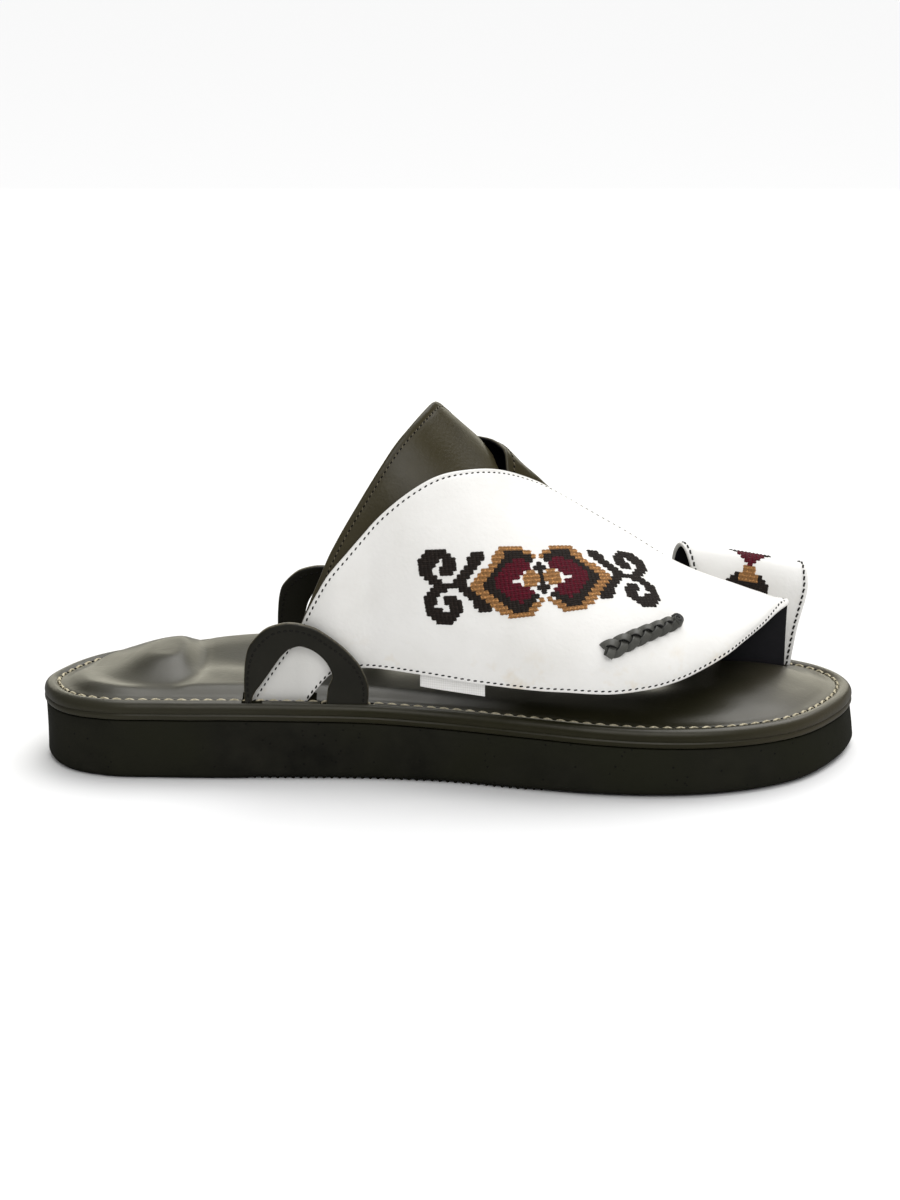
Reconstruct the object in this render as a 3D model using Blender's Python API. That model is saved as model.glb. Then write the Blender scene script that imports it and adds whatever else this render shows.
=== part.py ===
"""A flat arabic sandal for the right foot: toe along +X, outer side towards -Y, sole on z = 0.

The last is described by a few short tables of stations along the foot. The sole and the footbed
are slabs on one outline, and the upper is a tunnel of cross sections that run from the outer free
edge over the ridge to the inner free edge.
"""

import bmesh
import bpy
import numpy as np

MM = 0.001

# Driving sizes, in metres.
GAP = 0.3 * MM
PANEL_GAP = 0.45 * MM
WALL = 2.2 * MM
PANEL_WALL = 1.5 * MM
LOOP_WALL = 2.2 * MM
EAR_WALL = 2.4 * MM
BEAD_HEIGHT = 6.6 * MM
BEAD_WIDTH = 7.5 * MM
PADDING_START = 5.0 * MM
PADDING_REACH = 24.0 * MM
RIM_DIP = 0.5 * MM
ARCH_START_Y = -5.0 * MM
ARCH_REACH = 30.0 * MM
SOLE_INSET = 0.6 * MM
SOLE_ROUNDING = 3.0 * MM
SOLE_TOP_ROUNDING = 0.5 * MM
TOE_SPRING = 1.5 * MM
SPRING_START_X = 112.0 * MM
SPRING_REACH = 34.0 * MM
SLIT_CLEARANCE = 0.3 * MM
SLIT_END_ROOM = 1.6 * MM
SLIT_FLOOR_ROOM = 0.4 * MM
SLIT_CUTTER_TOP = 45.0 * MM
HALF_OUTLINE_STEPS = 42
FINE_OUTLINE_STEPS = 1200
RIB_STEPS = 8
WING_ROWS = 31
LOOP_TURNS = 31
LOOP_ROWS = 6
BRAID_STEPS = 15
BRAID_SIDES = 10
LABEL_STEPS = 7


def table(columns, rows, unit=MM):
    """A short table as one array for each named column, in metres unless unit is 1."""
    values = np.array(rows, float) * unit
    return dict(zip(columns.split(), values.T))


# The footbed's outer edge, from the back of the heel along the outer side to the toe, and back
# along the inner side.
OUTER_HALF = table("x y", [
    (-145.0, -3.0), (-142.4, -13.8), (-134.5, -24.8), (-121.5, -31.2), (-100.0, -33.2),
    (-60.0, -34.0), (-25.0, -34.9), (0.0, -38.2), (25.0, -44.6), (50.0, -50.0),
    (69.0, -51.5), (88.0, -49.7), (106.0, -44.0), (122.0, -34.3), (134.5, -20.0),
    (142.5, -5.5), (145.5, 6.5),
])
INNER_HALF = table("x y", [
    (145.5, 6.5), (143.6, 16.0), (138.0, 25.0), (126.5, 33.5), (108.0, 40.6),
    (85.0, 45.3), (62.0, 47.0), (38.0, 44.6), (12.0, 38.7), (-15.0, 34.8),
    (-50.0, 33.3), (-88.0, 32.9), (-115.0, 30.2), (-130.5, 22.2), (-140.7, 9.5), (-145.0, -3.0),
])
# Height of the footbed's rim, its crown above the rim, and the lift of the inner side at the arch.
HEIGHTS = table("x rim crown arch", [
    (-145.0, 27.8, 0.4, 0.0), (-115.0, 28.4, 1.3, 0.6), (-80.0, 28.6, 2.0, 4.4),
    (-30.0, 27.9, 2.6, 5.2), (0.0, 26.8, 3.4, 3.6), (30.0, 26.2, 4.2, 0.8),
    (60.0, 25.2, 4.8, 0.0), (90.0, 24.2, 5.0, 0.0), (120.0, 23.3, 4.4, 0.0),
    (145.5, 22.8, 2.0, 0.0),
])
# The upper's outer free edge, from the rear slit to the tip between the toes.
OUTER_EDGE = table("x y z", [
    (-71.0, -26.6, 24.3), (-49.0, -26.6, 24.3), (-46.5, -26.6, 30.0), (-38.0, -26.5, 37.0),
    (-29.0, -26.9, 39.8), (-20.0, -30.0, 39.9), (-12.0, -33.2, 39.7), (11.0, -40.6, 38.4),
    (36.0, -46.5, 37.8), (52.0, -46.9, 37.0), (67.0, -44.5, 38.0), (76.0, -40.5, 38.9),
    (86.0, -34.0, 40.2), (95.0, -27.0, 42.6), (101.0, -19.5, 45.0), (108.0, -8.5, 47.5),
    (114.5, 0.5, 48.8), (121.5, 7.2, 49.6),
])
# The upper's inner free edge, from the rear slit to the slit between the toes.
INNER_EDGE = table("x y z", [
    (-71.0, 26.6, 29.3), (-42.5, 26.6, 29.3), (-40.0, 26.6, 36.0), (-32.0, 26.7, 42.5),
    (-22.5, 27.1, 46.5), (-14.0, 29.8, 49.0), (-6.0, 32.2, 51.0), (13.0, 35.6, 55.5),
    (30.0, 35.5, 59.5), (50.0, 32.0, 62.0), (66.0, 27.0, 61.0), (78.0, 21.5, 56.0),
    (88.0, 16.6, 48.0), (95.0, 14.2, 39.0), (99.0, 13.6, 29.0), (100.0, 13.5, 24.5),
    (121.5, 13.5, 24.5),
])
# The ridge of the tunnel, how far each side stays level there, and how far it bellies at its foot.
# Behind x = -5 the ridge only carries the sloping rear edges.
RIDGE = table("x y z outer_level inner_level outer_belly inner_belly", [
    (-71.0, 8.0, 190.0, 10.0, 10.0, 2.0, 2.0), (-30.0, 8.0, 150.0, 11.0, 11.0, 2.0, 2.0),
    (-5.0, 8.0, 126.0, 12.0, 12.0, 3.5, 2.0), (10.0, 9.0, 112.5, 14.0, 13.0, 4.0, 2.0),
    (30.0, 9.5, 95.5, 18.0, 13.0, 4.0, 2.0), (43.0, 10.0, 87.3, 21.0, 12.0, 4.0, 2.0),
    (60.0, 10.3, 76.8, 22.0, 10.0, 4.0, 1.5), (79.0, 10.2, 65.6, 19.0, 6.0, 3.0, 0.6),
    (86.0, 10.1, 62.4, 17.0, 4.0, 2.0, 0.3), (99.0, 10.0, 58.0, 11.0, 2.7, 1.0, 0.0),
    (115.0, 10.0, 53.0, 5.0, 2.6, 0.5, 0.0), (121.5, 10.0, 51.3, 1.6, 2.6, 0.2, 0.0),
])
BELLY_RISE = 0.45
LEAST_LEVEL = 0.2 * MM
FRONT_X = 121.5 * MM
FRONT_SLOPE = -0.3
ROW_EASING = 0.06
TIP_Y = 13.5 * MM
TIP_REAR_X = 98.6 * MM
TIP_FOOT_Z = 24.5 * MM
# Where the sections are cut: evenly up both sides, closer together over the ridge.
TURNS = np.concatenate([
    np.linspace(0.0, 0.84, 9), np.linspace(0.91, 1.21, 6), np.linspace(1.3, 2.0, 7),
])
# Rear edges, as x against the turn: 0 at the outer free edge, 1 on the ridge, 2 at the inner edge.
OUTER_WING_REAR = table("turn x", [
    (0.0, -71.0), (0.085, -60.4), (0.148, -52.0), (0.19, -45.4), (0.303, -36.3), (0.422, -28.1),
    (0.556, -20.0), (0.718, -11.7), (0.86, -7.6), (1.0, -4.5), (1.15, 1.0), (1.35, 13.0),
    (1.6, 30.0), (2.0, 50.0),
], 1)
INNER_WING_REAR = table("turn x", [
    (0.0, 66.0), (0.4, 55.0), (0.7, 40.0), (0.9, 24.0), (1.0, 13.0), (1.15, 5.0), (1.3, -2.5),
    (1.44, -10.5), (1.58, -19.5), (1.7, -28.5), (1.81, -39.0), (1.852, -45.5), (1.915, -54.0),
    (2.0, -64.5),
], 1)
PANEL_REAR = table("turn x", [
    (0.0, -71.0), (0.085, -60.4), (0.148, -52.0), (0.204, -41.0), (0.303, -30.0), (0.429, -18.0),
    (0.563, -6.0), (0.689, 6.0), (0.82, 18.0), (0.92, 31.0), (0.97, 42.0), (1.01, 55.0),
    (1.06, 63.0), (1.2, 76.0), (1.45, 88.0), (1.8, 96.5), (2.0, 100.0),
], 1)
# The toe loop's two cut edges, as an arch over the big toe.
LOOP_SHAPE = {
    "outer_y": 17.2 * MM,
    "inner_y": 35.5 * MM,
    "foot_z": 24.6 * MM,
    "rear_top": 69.0 * MM,
    "front_top": 63.0 * MM,
    "squareness": 0.8,
}
LOOP_EDGES = table("turn rear_x front_x", [
    (0.0, 92.5, 124.0), (0.08, 92.0, 125.0), (0.3, 89.0, 128.4), (0.5, 86.0, 127.3),
    (0.7, 82.5, 122.5), (0.92, 81.0, 114.5), (1.0, 81.0, 113.0),
], 1)
# The ears: horseshoes cut from one thickness of lined leather, x from the rear edge and z from
# the foot in the slit.
EARS = {
    "ear_lateral": {"side": -1, "rear": -71.0 * MM, "foot": 24.3 * MM},
    "ear_medial": {"side": 1, "rear": -64.5 * MM, "foot": 29.3 * MM},
}
EAR_SHAPE = table("outer_x outer_z hole_x hole_z", [
    (0.3, 0.0, 3.8, 0.0), (0.0, 8.0, 4.8, 6.2), (0.1, 15.5, 7.0, 11.4), (0.9, 21.6, 9.6, 15.4),
    (4.0, 26.6, 12.2, 18.5), (9.6, 29.8, 15.3, 20.9), (16.0, 30.6, 19.2, 21.8),
    (23.0, 29.4, 23.0, 21.0), (30.2, 26.4, 26.4, 18.7), (36.4, 21.8, 28.8, 15.6),
    (41.0, 16.4, 30.0, 11.6), (42.7, 9.0, 29.4, 6.2), (42.4, 0.0, 28.4, 0.0),
])
EAR_INNER_Y = 29.7 * MM
EAR_STEPS = 24
STRAP_OUTER_Y = 26.6 * MM
STRAP_LENGTH = 23.4 * MM
# The plait, along the panel between two places given as x and turn.
BRAID = {
    "start": (52.0 * MM, 0.205),
    "end": (80.5 * MM, 0.465),
    "width": 6.4 * MM,
    "thickness": 3.2 * MM,
    "narrows_at": 0.9,
    "end_scale": 0.8,
}
LABEL = {
    "rear_x": -10.5 * MM,
    "front_x": 12.2 * MM,
    "drop": 5.0 * MM,
    "lean": 0.6 * MM,
    "depth": 0.4 * MM,
    "thickness": 0.8 * MM,
}
SMOOTH_ANGLE = np.radians(40)


def through(xs, ys, x):
    """A smooth curve through the points that never overshoots them."""
    step = np.diff(xs)
    slope = np.diff(ys) / step
    tangent = np.concatenate([[slope[0]], np.zeros(len(xs) - 2), [slope[-1]]])
    for i in range(1, len(xs) - 1):
        if slope[i - 1] * slope[i] > 0:
            near = 2 * step[i] + step[i - 1]
            far = step[i] + 2 * step[i - 1]
            tangent[i] = (near + far) / (near / slope[i - 1] + far / slope[i])
    x = np.clip(x, xs[0], xs[-1])
    i = np.clip(np.searchsorted(xs, x, side="right") - 1, 0, len(xs) - 2)
    t = (x - xs[i]) / step[i]
    ends = (2 * t**3 - 3 * t**2 + 1) * ys[i] + (3 * t**2 - 2 * t**3) * ys[i + 1]
    leans = (t**3 - 2 * t**2 + t) * tangent[i] + (t**3 - t**2) * tangent[i + 1]
    return ends + leans * step[i]


def at(shape, column, x):
    return through(shape["x"], shape[column], x)


def smooth_step(value):
    value = np.clip(value, 0.0, 1.0)
    return value * value * (3 - 2 * value)


def material(name, colour, roughness):
    made = bpy.data.materials.new(name)
    made.use_nodes = True
    shader = made.node_tree.nodes["Principled BSDF"]
    shader.inputs["Base Color"].default_value = (*colour, 1.0)
    shader.inputs["Roughness"].default_value = roughness
    shader.inputs["Metallic"].default_value = 0.0
    return made


def add_object(name, points, faces, finish):
    """A closed mesh object with its faces turned outwards and its round parts shaded smooth."""
    shape = bmesh.new()
    corners = [shape.verts.new(point) for point in points]
    for face in faces:
        shape.faces.new([corners[i] for i in face])
    bmesh.ops.recalc_face_normals(shape, faces=shape.faces)
    mesh = bpy.data.meshes.new(name)
    shape.to_mesh(mesh)
    shape.free()
    mesh.materials.append(finish)
    mesh.shade_smooth()
    mesh.set_sharp_from_angle(angle=SMOOTH_ANGLE)
    made = bpy.data.objects.new(name, mesh)
    bpy.context.scene.collection.objects.link(made)
    return made


# ---- the sole's outline and heights ------------------------------------------------------------


def half_outline(half):
    """Even steps along one half of the outline, on a smooth curve through its points."""
    corners = np.stack([half["x"], half["y"]], 1)
    along = np.concatenate([[0], np.cumsum(np.linalg.norm(np.diff(corners, axis=0), axis=1))])
    tangents = np.gradient(corners, along, axis=0)
    tangents[0] = (0.0, np.sign(corners[1][1] - corners[0][1]))
    tangents[-1] = (0.0, np.sign(corners[-1][1] - corners[-2][1]))
    fine = np.linspace(0, along[-1], FINE_OUTLINE_STEPS)
    i = np.clip(np.searchsorted(along, fine, side="right") - 1, 0, len(along) - 2)
    step = (along[i + 1] - along[i])[:, None]
    t = ((fine - along[i])[:, None]) / step
    curve = (2 * t**3 - 3 * t**2 + 1) * corners[i] + (3 * t**2 - 2 * t**3) * corners[i + 1]
    curve += ((t**3 - 2 * t**2 + t) * tangents[i] + (t**3 - t**2) * tangents[i + 1]) * step
    length = np.concatenate([[0], np.cumsum(np.linalg.norm(np.diff(curve, axis=0), axis=1))])
    even = np.linspace(0, length[-1], HALF_OUTLINE_STEPS + 1)
    return np.stack([np.interp(even, length, curve[:, k]) for k in (0, 1)], 1)


def sole_outline():
    """The outline as a closed ring and its outward normals."""
    ring = np.concatenate([half_outline(OUTER_HALF)[:-1], half_outline(INNER_HALF)[:-1]])
    ahead = np.roll(ring, -1, axis=0) - np.roll(ring, 1, axis=0)
    normal = np.stack([ahead[:, 1], -ahead[:, 0]], 1)
    return ring, normal / np.linalg.norm(normal, axis=1)[:, None]


OUTLINE, OUTWARD = sole_outline()


def inset_ring(distance):
    return OUTLINE - OUTWARD * distance


def rim_height(x, y):
    inner_side = smooth_step((y - ARCH_START_Y) / ARCH_REACH)
    return at(HEIGHTS, "rim", x) + at(HEIGHTS, "arch", x) * inner_side


def sole_top(x, y):
    return rim_height(x, y) - BEAD_HEIGHT - GAP


def edge_distance(x, y):
    """How far inside the outline each place lies."""
    place = np.stack([np.ravel(x), np.ravel(y)], 1)
    apart = np.linalg.norm(place[:, None, :] - OUTLINE[None, :, :], axis=2)
    return apart.min(axis=1).reshape(np.shape(x))


def footbed_top(x, y):
    inside = smooth_step((edge_distance(x, y) - PADDING_START) / PADDING_REACH)
    return rim_height(x, y) - RIM_DIP + (at(HEIGHTS, "crown", x) + RIM_DIP) * inside


def ground_lift(x):
    """The small spring of the toe, nothing along the rest of the sole."""
    return TOE_SPRING * smooth_step((x - SPRING_START_X) / SPRING_REACH) ** 2


def slab(name, rings, top, bottom, finish):
    """A closed slab: rings of points from the top rim down the wall, capped by ribs."""
    points = [point for ring in rings for point in ring]
    count = len(OUTLINE)
    faces = []
    for level in range(len(rings) - 1):
        for i in range(count):
            j = (i + 1) % count
            upper, lower = level * count, (level + 1) * count
            faces.append((upper + i, upper + j, lower + j, lower + i))
    half = count // 2
    for ring_start, height in ((0, top), ((len(rings) - 1) * count, bottom)):
        rows = [[ring_start] * (RIB_STEPS + 1)]
        for i in range(1, half):
            first = np.array(points[ring_start + i])
            last = np.array(points[ring_start + count - i])
            row = [ring_start + i]
            for k in range(1, RIB_STEPS):
                place = first + (last - first) * k / RIB_STEPS
                place[2] = height(place[0], place[1])
                row.append(len(points))
                points.append(place)
            rows.append(row + [ring_start + count - i])
        rows.append([ring_start + half] * (RIB_STEPS + 1))
        for above, below in zip(rows, rows[1:]):
            for k in range(RIB_STEPS):
                corners = [above[k], above[k + 1], below[k + 1], below[k]]
                faces.append(tuple(dict.fromkeys(corners)))
    return add_object(name, points, faces, finish)


def ring_at(distance, height):
    """One ring of the slab, inset by a distance, with its height as a function of place."""
    flat = inset_ring(distance)
    heights = height(flat[:, 0], flat[:, 1])
    return [np.array((x, y, z)) for (x, y), z in zip(flat, heights)]


def build_outsole(finish):
    """The rubber wedge: a flat tread with a rounded lower edge and near-vertical walls."""
    rings = [
        ring_at(SOLE_INSET + SOLE_TOP_ROUNDING, sole_top),
        ring_at(SOLE_INSET, lambda x, y: sole_top(x, y) - SOLE_TOP_ROUNDING),
    ]
    for angle in np.linspace(0, np.pi / 2, 5):
        inset = SOLE_INSET + SOLE_ROUNDING * (1 - np.cos(angle))
        lift = SOLE_ROUNDING * (1 - np.sin(angle))
        rings.append(ring_at(inset, lambda x, y, lift=lift: ground_lift(x) + lift))
    return slab("outsole", rings, sole_top, lambda x, y: ground_lift(x), finish)


def build_footbed(finish):
    """The wrapped board: a rolled bead round the edge and a crowned, padded top."""
    bead = table("inset drop", [
        (4.8, 0.5), (3.2, 0.0), (1.7, 0.35), (0.5, 1.5), (0.0, 3.0), (0.0, 5.9), (0.5, 6.6),
    ])
    rings = [ring_at(BEAD_WIDTH, footbed_top)]
    for inset, drop in zip(bead["inset"], bead["drop"]):
        rings.append(ring_at(inset, lambda x, y, drop=drop: rim_height(x, y) - drop))
    made = slab("footbed", rings, footbed_top, lambda x, y: sole_top(x, y) + GAP, finish)
    for slit in SLITS:
        cut_slit(made, slit)
    return made


# ---- slits for the strap ends ------------------------------------------------------------------


def slits():
    """Name and box of each slit: one for each leg of an ear, each strap and each end at the toe."""
    found = []
    stack = WALL + PANEL_GAP + PANEL_WALL
    for name, ear in EARS.items():
        side = ear["side"]
        depth = ear["foot"] - SLIT_FLOOR_ROOM
        ear_span = (EAR_INNER_Y, EAR_INNER_Y + EAR_WALL)
        strap_span = (STRAP_OUTER_Y - WALL, STRAP_OUTER_Y - WALL + stack)
        legs = (
            ("rear_leg", 0.0, EAR_SHAPE["hole_x"][1], ear_span),
            ("front_leg", EAR_SHAPE["hole_x"][-1], EAR_SHAPE["outer_x"].max(), ear_span),
            ("strap", 0.0, STRAP_LENGTH, strap_span),
        )
        for part, start, end, span in legs:
            along = (ear["rear"] + start, ear["rear"] + end)
            across = sorted((side * span[0], side * span[1]))
            found.append((f"{name}_{part}", along, across, depth))
    depth = TIP_FOOT_Z - SLIT_FLOOR_ROOM
    wing = (TIP_Y - WALL, TIP_Y + PANEL_GAP + PANEL_WALL)
    found.append(("wing_tip", (TIP_REAR_X, FRONT_X), wing, depth))
    outer, inner = LOOP_SHAPE["outer_y"], LOOP_SHAPE["inner_y"]
    ends = (
        ("loop_outer", slice(0, 2), (outer, outer + LOOP_WALL)),
        ("loop_inner", slice(-2, None), (inner - LOOP_WALL, inner)),
    )
    for part, rows, span in ends:
        rear = LOOP_EDGES["rear_x"][rows].min() * MM
        front = LOOP_EDGES["front_x"][rows].max() * MM
        found.append((part, (rear, front), span, depth))
    return found


SLITS = slits()


def cut_slit(board, slit):
    name, along, across, depth = slit
    low = (along[0] - SLIT_END_ROOM, across[0] - SLIT_CLEARANCE, depth)
    high = (along[1] + SLIT_END_ROOM, across[1] + SLIT_CLEARANCE, SLIT_CUTTER_TOP)
    corners = [(x, y, z) for z in (low[2], high[2]) for y in (low[1], high[1])
               for x in (low[0], high[0])]
    faces = [(0, 1, 3, 2), (4, 6, 7, 5), (0, 4, 5, 1), (2, 3, 7, 6), (0, 2, 6, 4), (1, 5, 7, 3)]
    cutter = add_object(f"cutter_{name}", corners, faces, board.data.materials[0])
    cutter.hide_render = True
    cutter.display_type = "WIRE"
    cut = board.modifiers.new(name, "BOOLEAN")
    cut.operation = "DIFFERENCE"
    cut.solver = "EXACT"
    cut.object = cutter


# ---- the upper's tunnel of sections ------------------------------------------------------------


def bend(start, leave, arrive, end, t):
    """A cubic bend from start to end."""
    t = t[..., None]
    near = start * (1 - t) ** 3 + 3 * leave * t * (1 - t) ** 2
    return near + 3 * arrive * t**2 * (1 - t) + end * t**3


def tunnel(x, turn, inset=0.0):
    """Places on the tunnel, or on its inner wall when inset by a thickness."""
    x, turn = np.broadcast_arrays(np.asarray(x, float), np.asarray(turn, float))
    slope = (at(RIDGE, "z", x + MM) - at(RIDGE, "z", x - MM)) / (2 * MM)
    slope = np.where(x < FRONT_X - MM, slope, FRONT_SLOPE)
    outer = np.stack([at(OUTER_EDGE, "y", x) + inset, at(OUTER_EDGE, "z", x)], -1)
    inner = np.stack([at(INNER_EDGE, "y", x) - inset, at(INNER_EDGE, "z", x)], -1)
    drop = inset * np.sqrt(1 + slope**2)
    ridge = np.stack([at(RIDGE, "y", x), at(RIDGE, "z", x) - drop], -1)
    outer_rise = (ridge - outer)[..., 1] * BELLY_RISE
    inner_rise = (ridge - inner)[..., 1] * BELLY_RISE
    flat = np.zeros_like(x)
    outer_level = np.maximum(at(RIDGE, "outer_level", x) - inset, LEAST_LEVEL)
    inner_level = np.maximum(at(RIDGE, "inner_level", x) - inset, LEAST_LEVEL)
    leave = outer + np.stack([-at(RIDGE, "outer_belly", x), outer_rise], -1)
    arrive = ridge - np.stack([outer_level, flat], -1)
    outer_half = bend(outer, leave, arrive, ridge, np.clip(turn, 0, 1))
    leave = ridge + np.stack([inner_level, flat], -1)
    arrive = inner + np.stack([at(RIDGE, "inner_belly", x), inner_rise], -1)
    inner_half = bend(ridge, leave, arrive, inner, np.clip(turn - 1, 0, 1))
    section = np.where((turn <= 1)[..., None], outer_half, inner_half)
    return np.concatenate([x[..., None], section], -1)


def tunnel_normal(x, turn):
    """The outward normal, from small steps along and round the tunnel."""
    along = tunnel(x + 0.5 * MM, turn) - tunnel(x - 0.5 * MM, turn)
    round_it = tunnel(x, turn + 0.01) - tunnel(x, turn - 0.01)
    ends = (turn < 0.01)[..., None]
    round_it = np.where(ends, tunnel(x, turn + 0.02) - tunnel(x, turn), round_it)
    normal = np.cross(along, round_it)
    return normal / np.linalg.norm(normal, axis=-1, keepdims=True)


def lifted(x, turn, lift):
    return tunnel(x, turn) + tunnel_normal(x, turn) * lift


def shell(name, outside, inside, finish):
    """A closed wall between two grids of places that have the same rows and columns."""
    rows, columns = outside.shape[:2]
    points = np.concatenate([outside.reshape(-1, 3), inside.reshape(-1, 3)])
    other = rows * columns
    faces = []
    for i in range(rows - 1):
        for j in range(columns - 1):
            a, b = i * columns + j, i * columns + j + 1
            c, d = b + columns, a + columns
            for corners in ((a, b, c), (a, c, d)):
                faces.append(corners)
                faces.append(tuple(other + corner for corner in reversed(corners)))
    rim = list(range(columns))
    rim += [i * columns + columns - 1 for i in range(1, rows)]
    rim += [(rows - 1) * columns + j for j in range(columns - 2, -1, -1)]
    rim += [i * columns for i in range(rows - 2, 0, -1)]
    for a, b in zip(rim, rim[1:] + rim[:1]):
        faces.append((b, a, other + a, other + b))
    return add_object(name, points, faces, finish)


def wing_grid(rear_x, turns, rows):
    """Rows of x from a rear edge to the front, closer together at both ends."""
    part = np.linspace(0, 1, rows)[:, None]
    eased = part - ROW_EASING * np.sin(2 * np.pi * part)
    x = rear_x[None, :] + (FRONT_X - rear_x[None, :]) * eased
    return x, np.broadcast_to(turns[None, :], x.shape)


def build_upper(finish):
    """Both wings as one wall: at each turn it starts at whichever rear edge lies further back."""
    outer_rear = through(OUTER_WING_REAR["turn"], OUTER_WING_REAR["x"], TURNS)
    inner_rear = through(INNER_WING_REAR["turn"], INNER_WING_REAR["x"], TURNS)
    x, turn = wing_grid(np.minimum(outer_rear, inner_rear) * MM, TURNS, WING_ROWS)
    return shell("upper", tunnel(x, turn), tunnel(x, turn, WALL), finish)


def build_panel(finish):
    """The white panel over the outer wing, following the wing's own surface."""
    rear = through(PANEL_REAR["turn"], PANEL_REAR["x"], TURNS) * MM
    x, turn = wing_grid(rear, TURNS, WING_ROWS)
    outside = lifted(x, turn, PANEL_GAP + PANEL_WALL)
    return shell("overlay_panel", outside, lifted(x, turn, PANEL_GAP), finish)


# ---- toe loop, ears, plait and label -----------------------------------------------------------


def loop_place(turn, part, inset):
    """Places on the toe loop: turn runs over the toe, part from the rear edge to the front."""
    angle = turn * np.pi
    rear = through(LOOP_EDGES["turn"], LOOP_EDGES["rear_x"], turn) * MM
    front = through(LOOP_EDGES["turn"], LOOP_EDGES["front_x"], turn) * MM
    middle = (LOOP_SHAPE["outer_y"] + LOOP_SHAPE["inner_y"]) / 2
    reach = (LOOP_SHAPE["inner_y"] - LOOP_SHAPE["outer_y"]) / 2 - inset
    top = LOOP_SHAPE["rear_top"] + (LOOP_SHAPE["front_top"] - LOOP_SHAPE["rear_top"]) * part
    power = LOOP_SHAPE["squareness"]
    across = np.cos(angle)
    y = middle - reach * np.sign(across) * np.abs(across) ** power
    z = LOOP_SHAPE["foot_z"] + (top - inset - LOOP_SHAPE["foot_z"]) * np.sin(angle) ** power
    return np.stack([rear + (front - rear) * part, y, z], -1)


def build_toe_loop(finish):
    turns = np.linspace(0, 1, LOOP_TURNS)
    turn, part = np.meshgrid(turns, np.linspace(0, 1, LOOP_ROWS), indexing="ij")
    outside = loop_place(turn, part, 0.0)
    return shell("toe_loop", outside, loop_place(turn, part, LOOP_WALL), finish)


def build_ear(name, ear, finish):
    """One horseshoe: its outer edge and the edge of its hole, on two faces a wall apart."""
    rows = np.arange(len(EAR_SHAPE["outer_x"]))
    steps = np.linspace(0, rows[-1], EAR_STEPS + 1)
    faces = []
    for distance in (EAR_INNER_Y, EAR_INNER_Y + EAR_WALL):
        edges = []
        for edge in ("outer", "hole"):
            x = ear["rear"] + through(rows, EAR_SHAPE[f"{edge}_x"], steps)
            z = ear["foot"] + through(rows, EAR_SHAPE[f"{edge}_z"], steps)
            edges.append(np.stack([x, np.full_like(x, ear["side"] * distance), z], -1))
        faces.append(np.stack(edges, 1))
    return shell(name, faces[1], faces[0], finish)


def build_braid(finish):
    """A rounded bar on the panel that holds the space of the plait."""
    steps = np.linspace(0, 1, BRAID_STEPS)
    start, end = BRAID["start"], BRAID["end"]
    x = start[0] + (end[0] - start[0]) * steps
    turn = start[1] + (end[1] - start[1]) * steps
    base = PANEL_GAP + PANEL_WALL + GAP
    centre = lifted(x, turn, base + BRAID["thickness"] / 2)
    normal = tunnel_normal(x, turn)
    ahead = np.gradient(centre, axis=0)
    ahead /= np.linalg.norm(ahead, axis=1)[:, None]
    across = np.cross(normal, ahead)
    narrowing = np.where(steps > BRAID["narrows_at"], BRAID["end_scale"], 1.0)
    sides = BRAID_SIDES
    points = []
    for i in range(BRAID_STEPS):
        for k in range(sides):
            angle = 2 * np.pi * k / sides
            wide = across[i] * np.cos(angle) * BRAID["width"] / 2 * narrowing[i]
            deep = normal[i] * np.sin(angle) * BRAID["thickness"] / 2
            points.append(centre[i] + wide + deep)
    faces = [tuple(range(sides)), tuple(range(len(points) - 1, len(points) - sides - 1, -1))]
    for i in range(BRAID_STEPS - 1):
        for k in range(sides):
            a, b = i * sides + k, i * sides + (k + 1) % sides
            faces.append((a, b, b + sides, a + sides))
    return add_object("braid", points, faces, finish)


def build_label(finish):
    """The blank tab that hangs below the panel's lower edge, in line with the wing's wall."""
    x = np.linspace(LABEL["rear_x"], LABEL["front_x"], LABEL_STEPS)
    top = tunnel(x, np.zeros_like(x))
    grids = []
    for depth in (LABEL["depth"], LABEL["depth"] + LABEL["thickness"]):
        high = top + np.array((0.0, depth, -GAP))
        low = high + np.array((0.0, LABEL["lean"], -LABEL["drop"]))
        grids.append(np.stack([high, low], 1))
    return shell("label_tab", grids[0], grids[1], finish)


def clear_scene():
    for old in list(bpy.data.objects):
        bpy.data.objects.remove(old, do_unlink=True)


def main():
    clear_scene()
    olive = material("olive_leather", (0.035, 0.033, 0.022), 0.42)
    white = material("white_leather", (0.78, 0.76, 0.72), 0.5)
    build_outsole(material("sole_rubber", (0.022, 0.023, 0.016), 0.75))
    build_footbed(material("footbed_leather", (0.04, 0.037, 0.025), 0.38))
    build_upper(olive)
    build_panel(white)
    build_toe_loop(white)
    for name, ear in EARS.items():
        build_ear(name, ear, olive)
    build_braid(material("plait_leather", (0.03, 0.03, 0.024), 0.5))
    build_label(material("label_fabric", (0.8, 0.79, 0.76), 0.8))


main()
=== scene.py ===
"""The right sandal as a finished object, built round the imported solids.

Sections follow the order in which the sandal is put together: the rubber sole, the wrapped
footbed, the two crossed wings, the white panel with its embroidery, plait and tab, the toe loop
and the two ears. Lengths are in metres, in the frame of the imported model.
"""

import math

import bmesh
import bpy
import numpy as np
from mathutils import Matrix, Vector, kdtree


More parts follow.
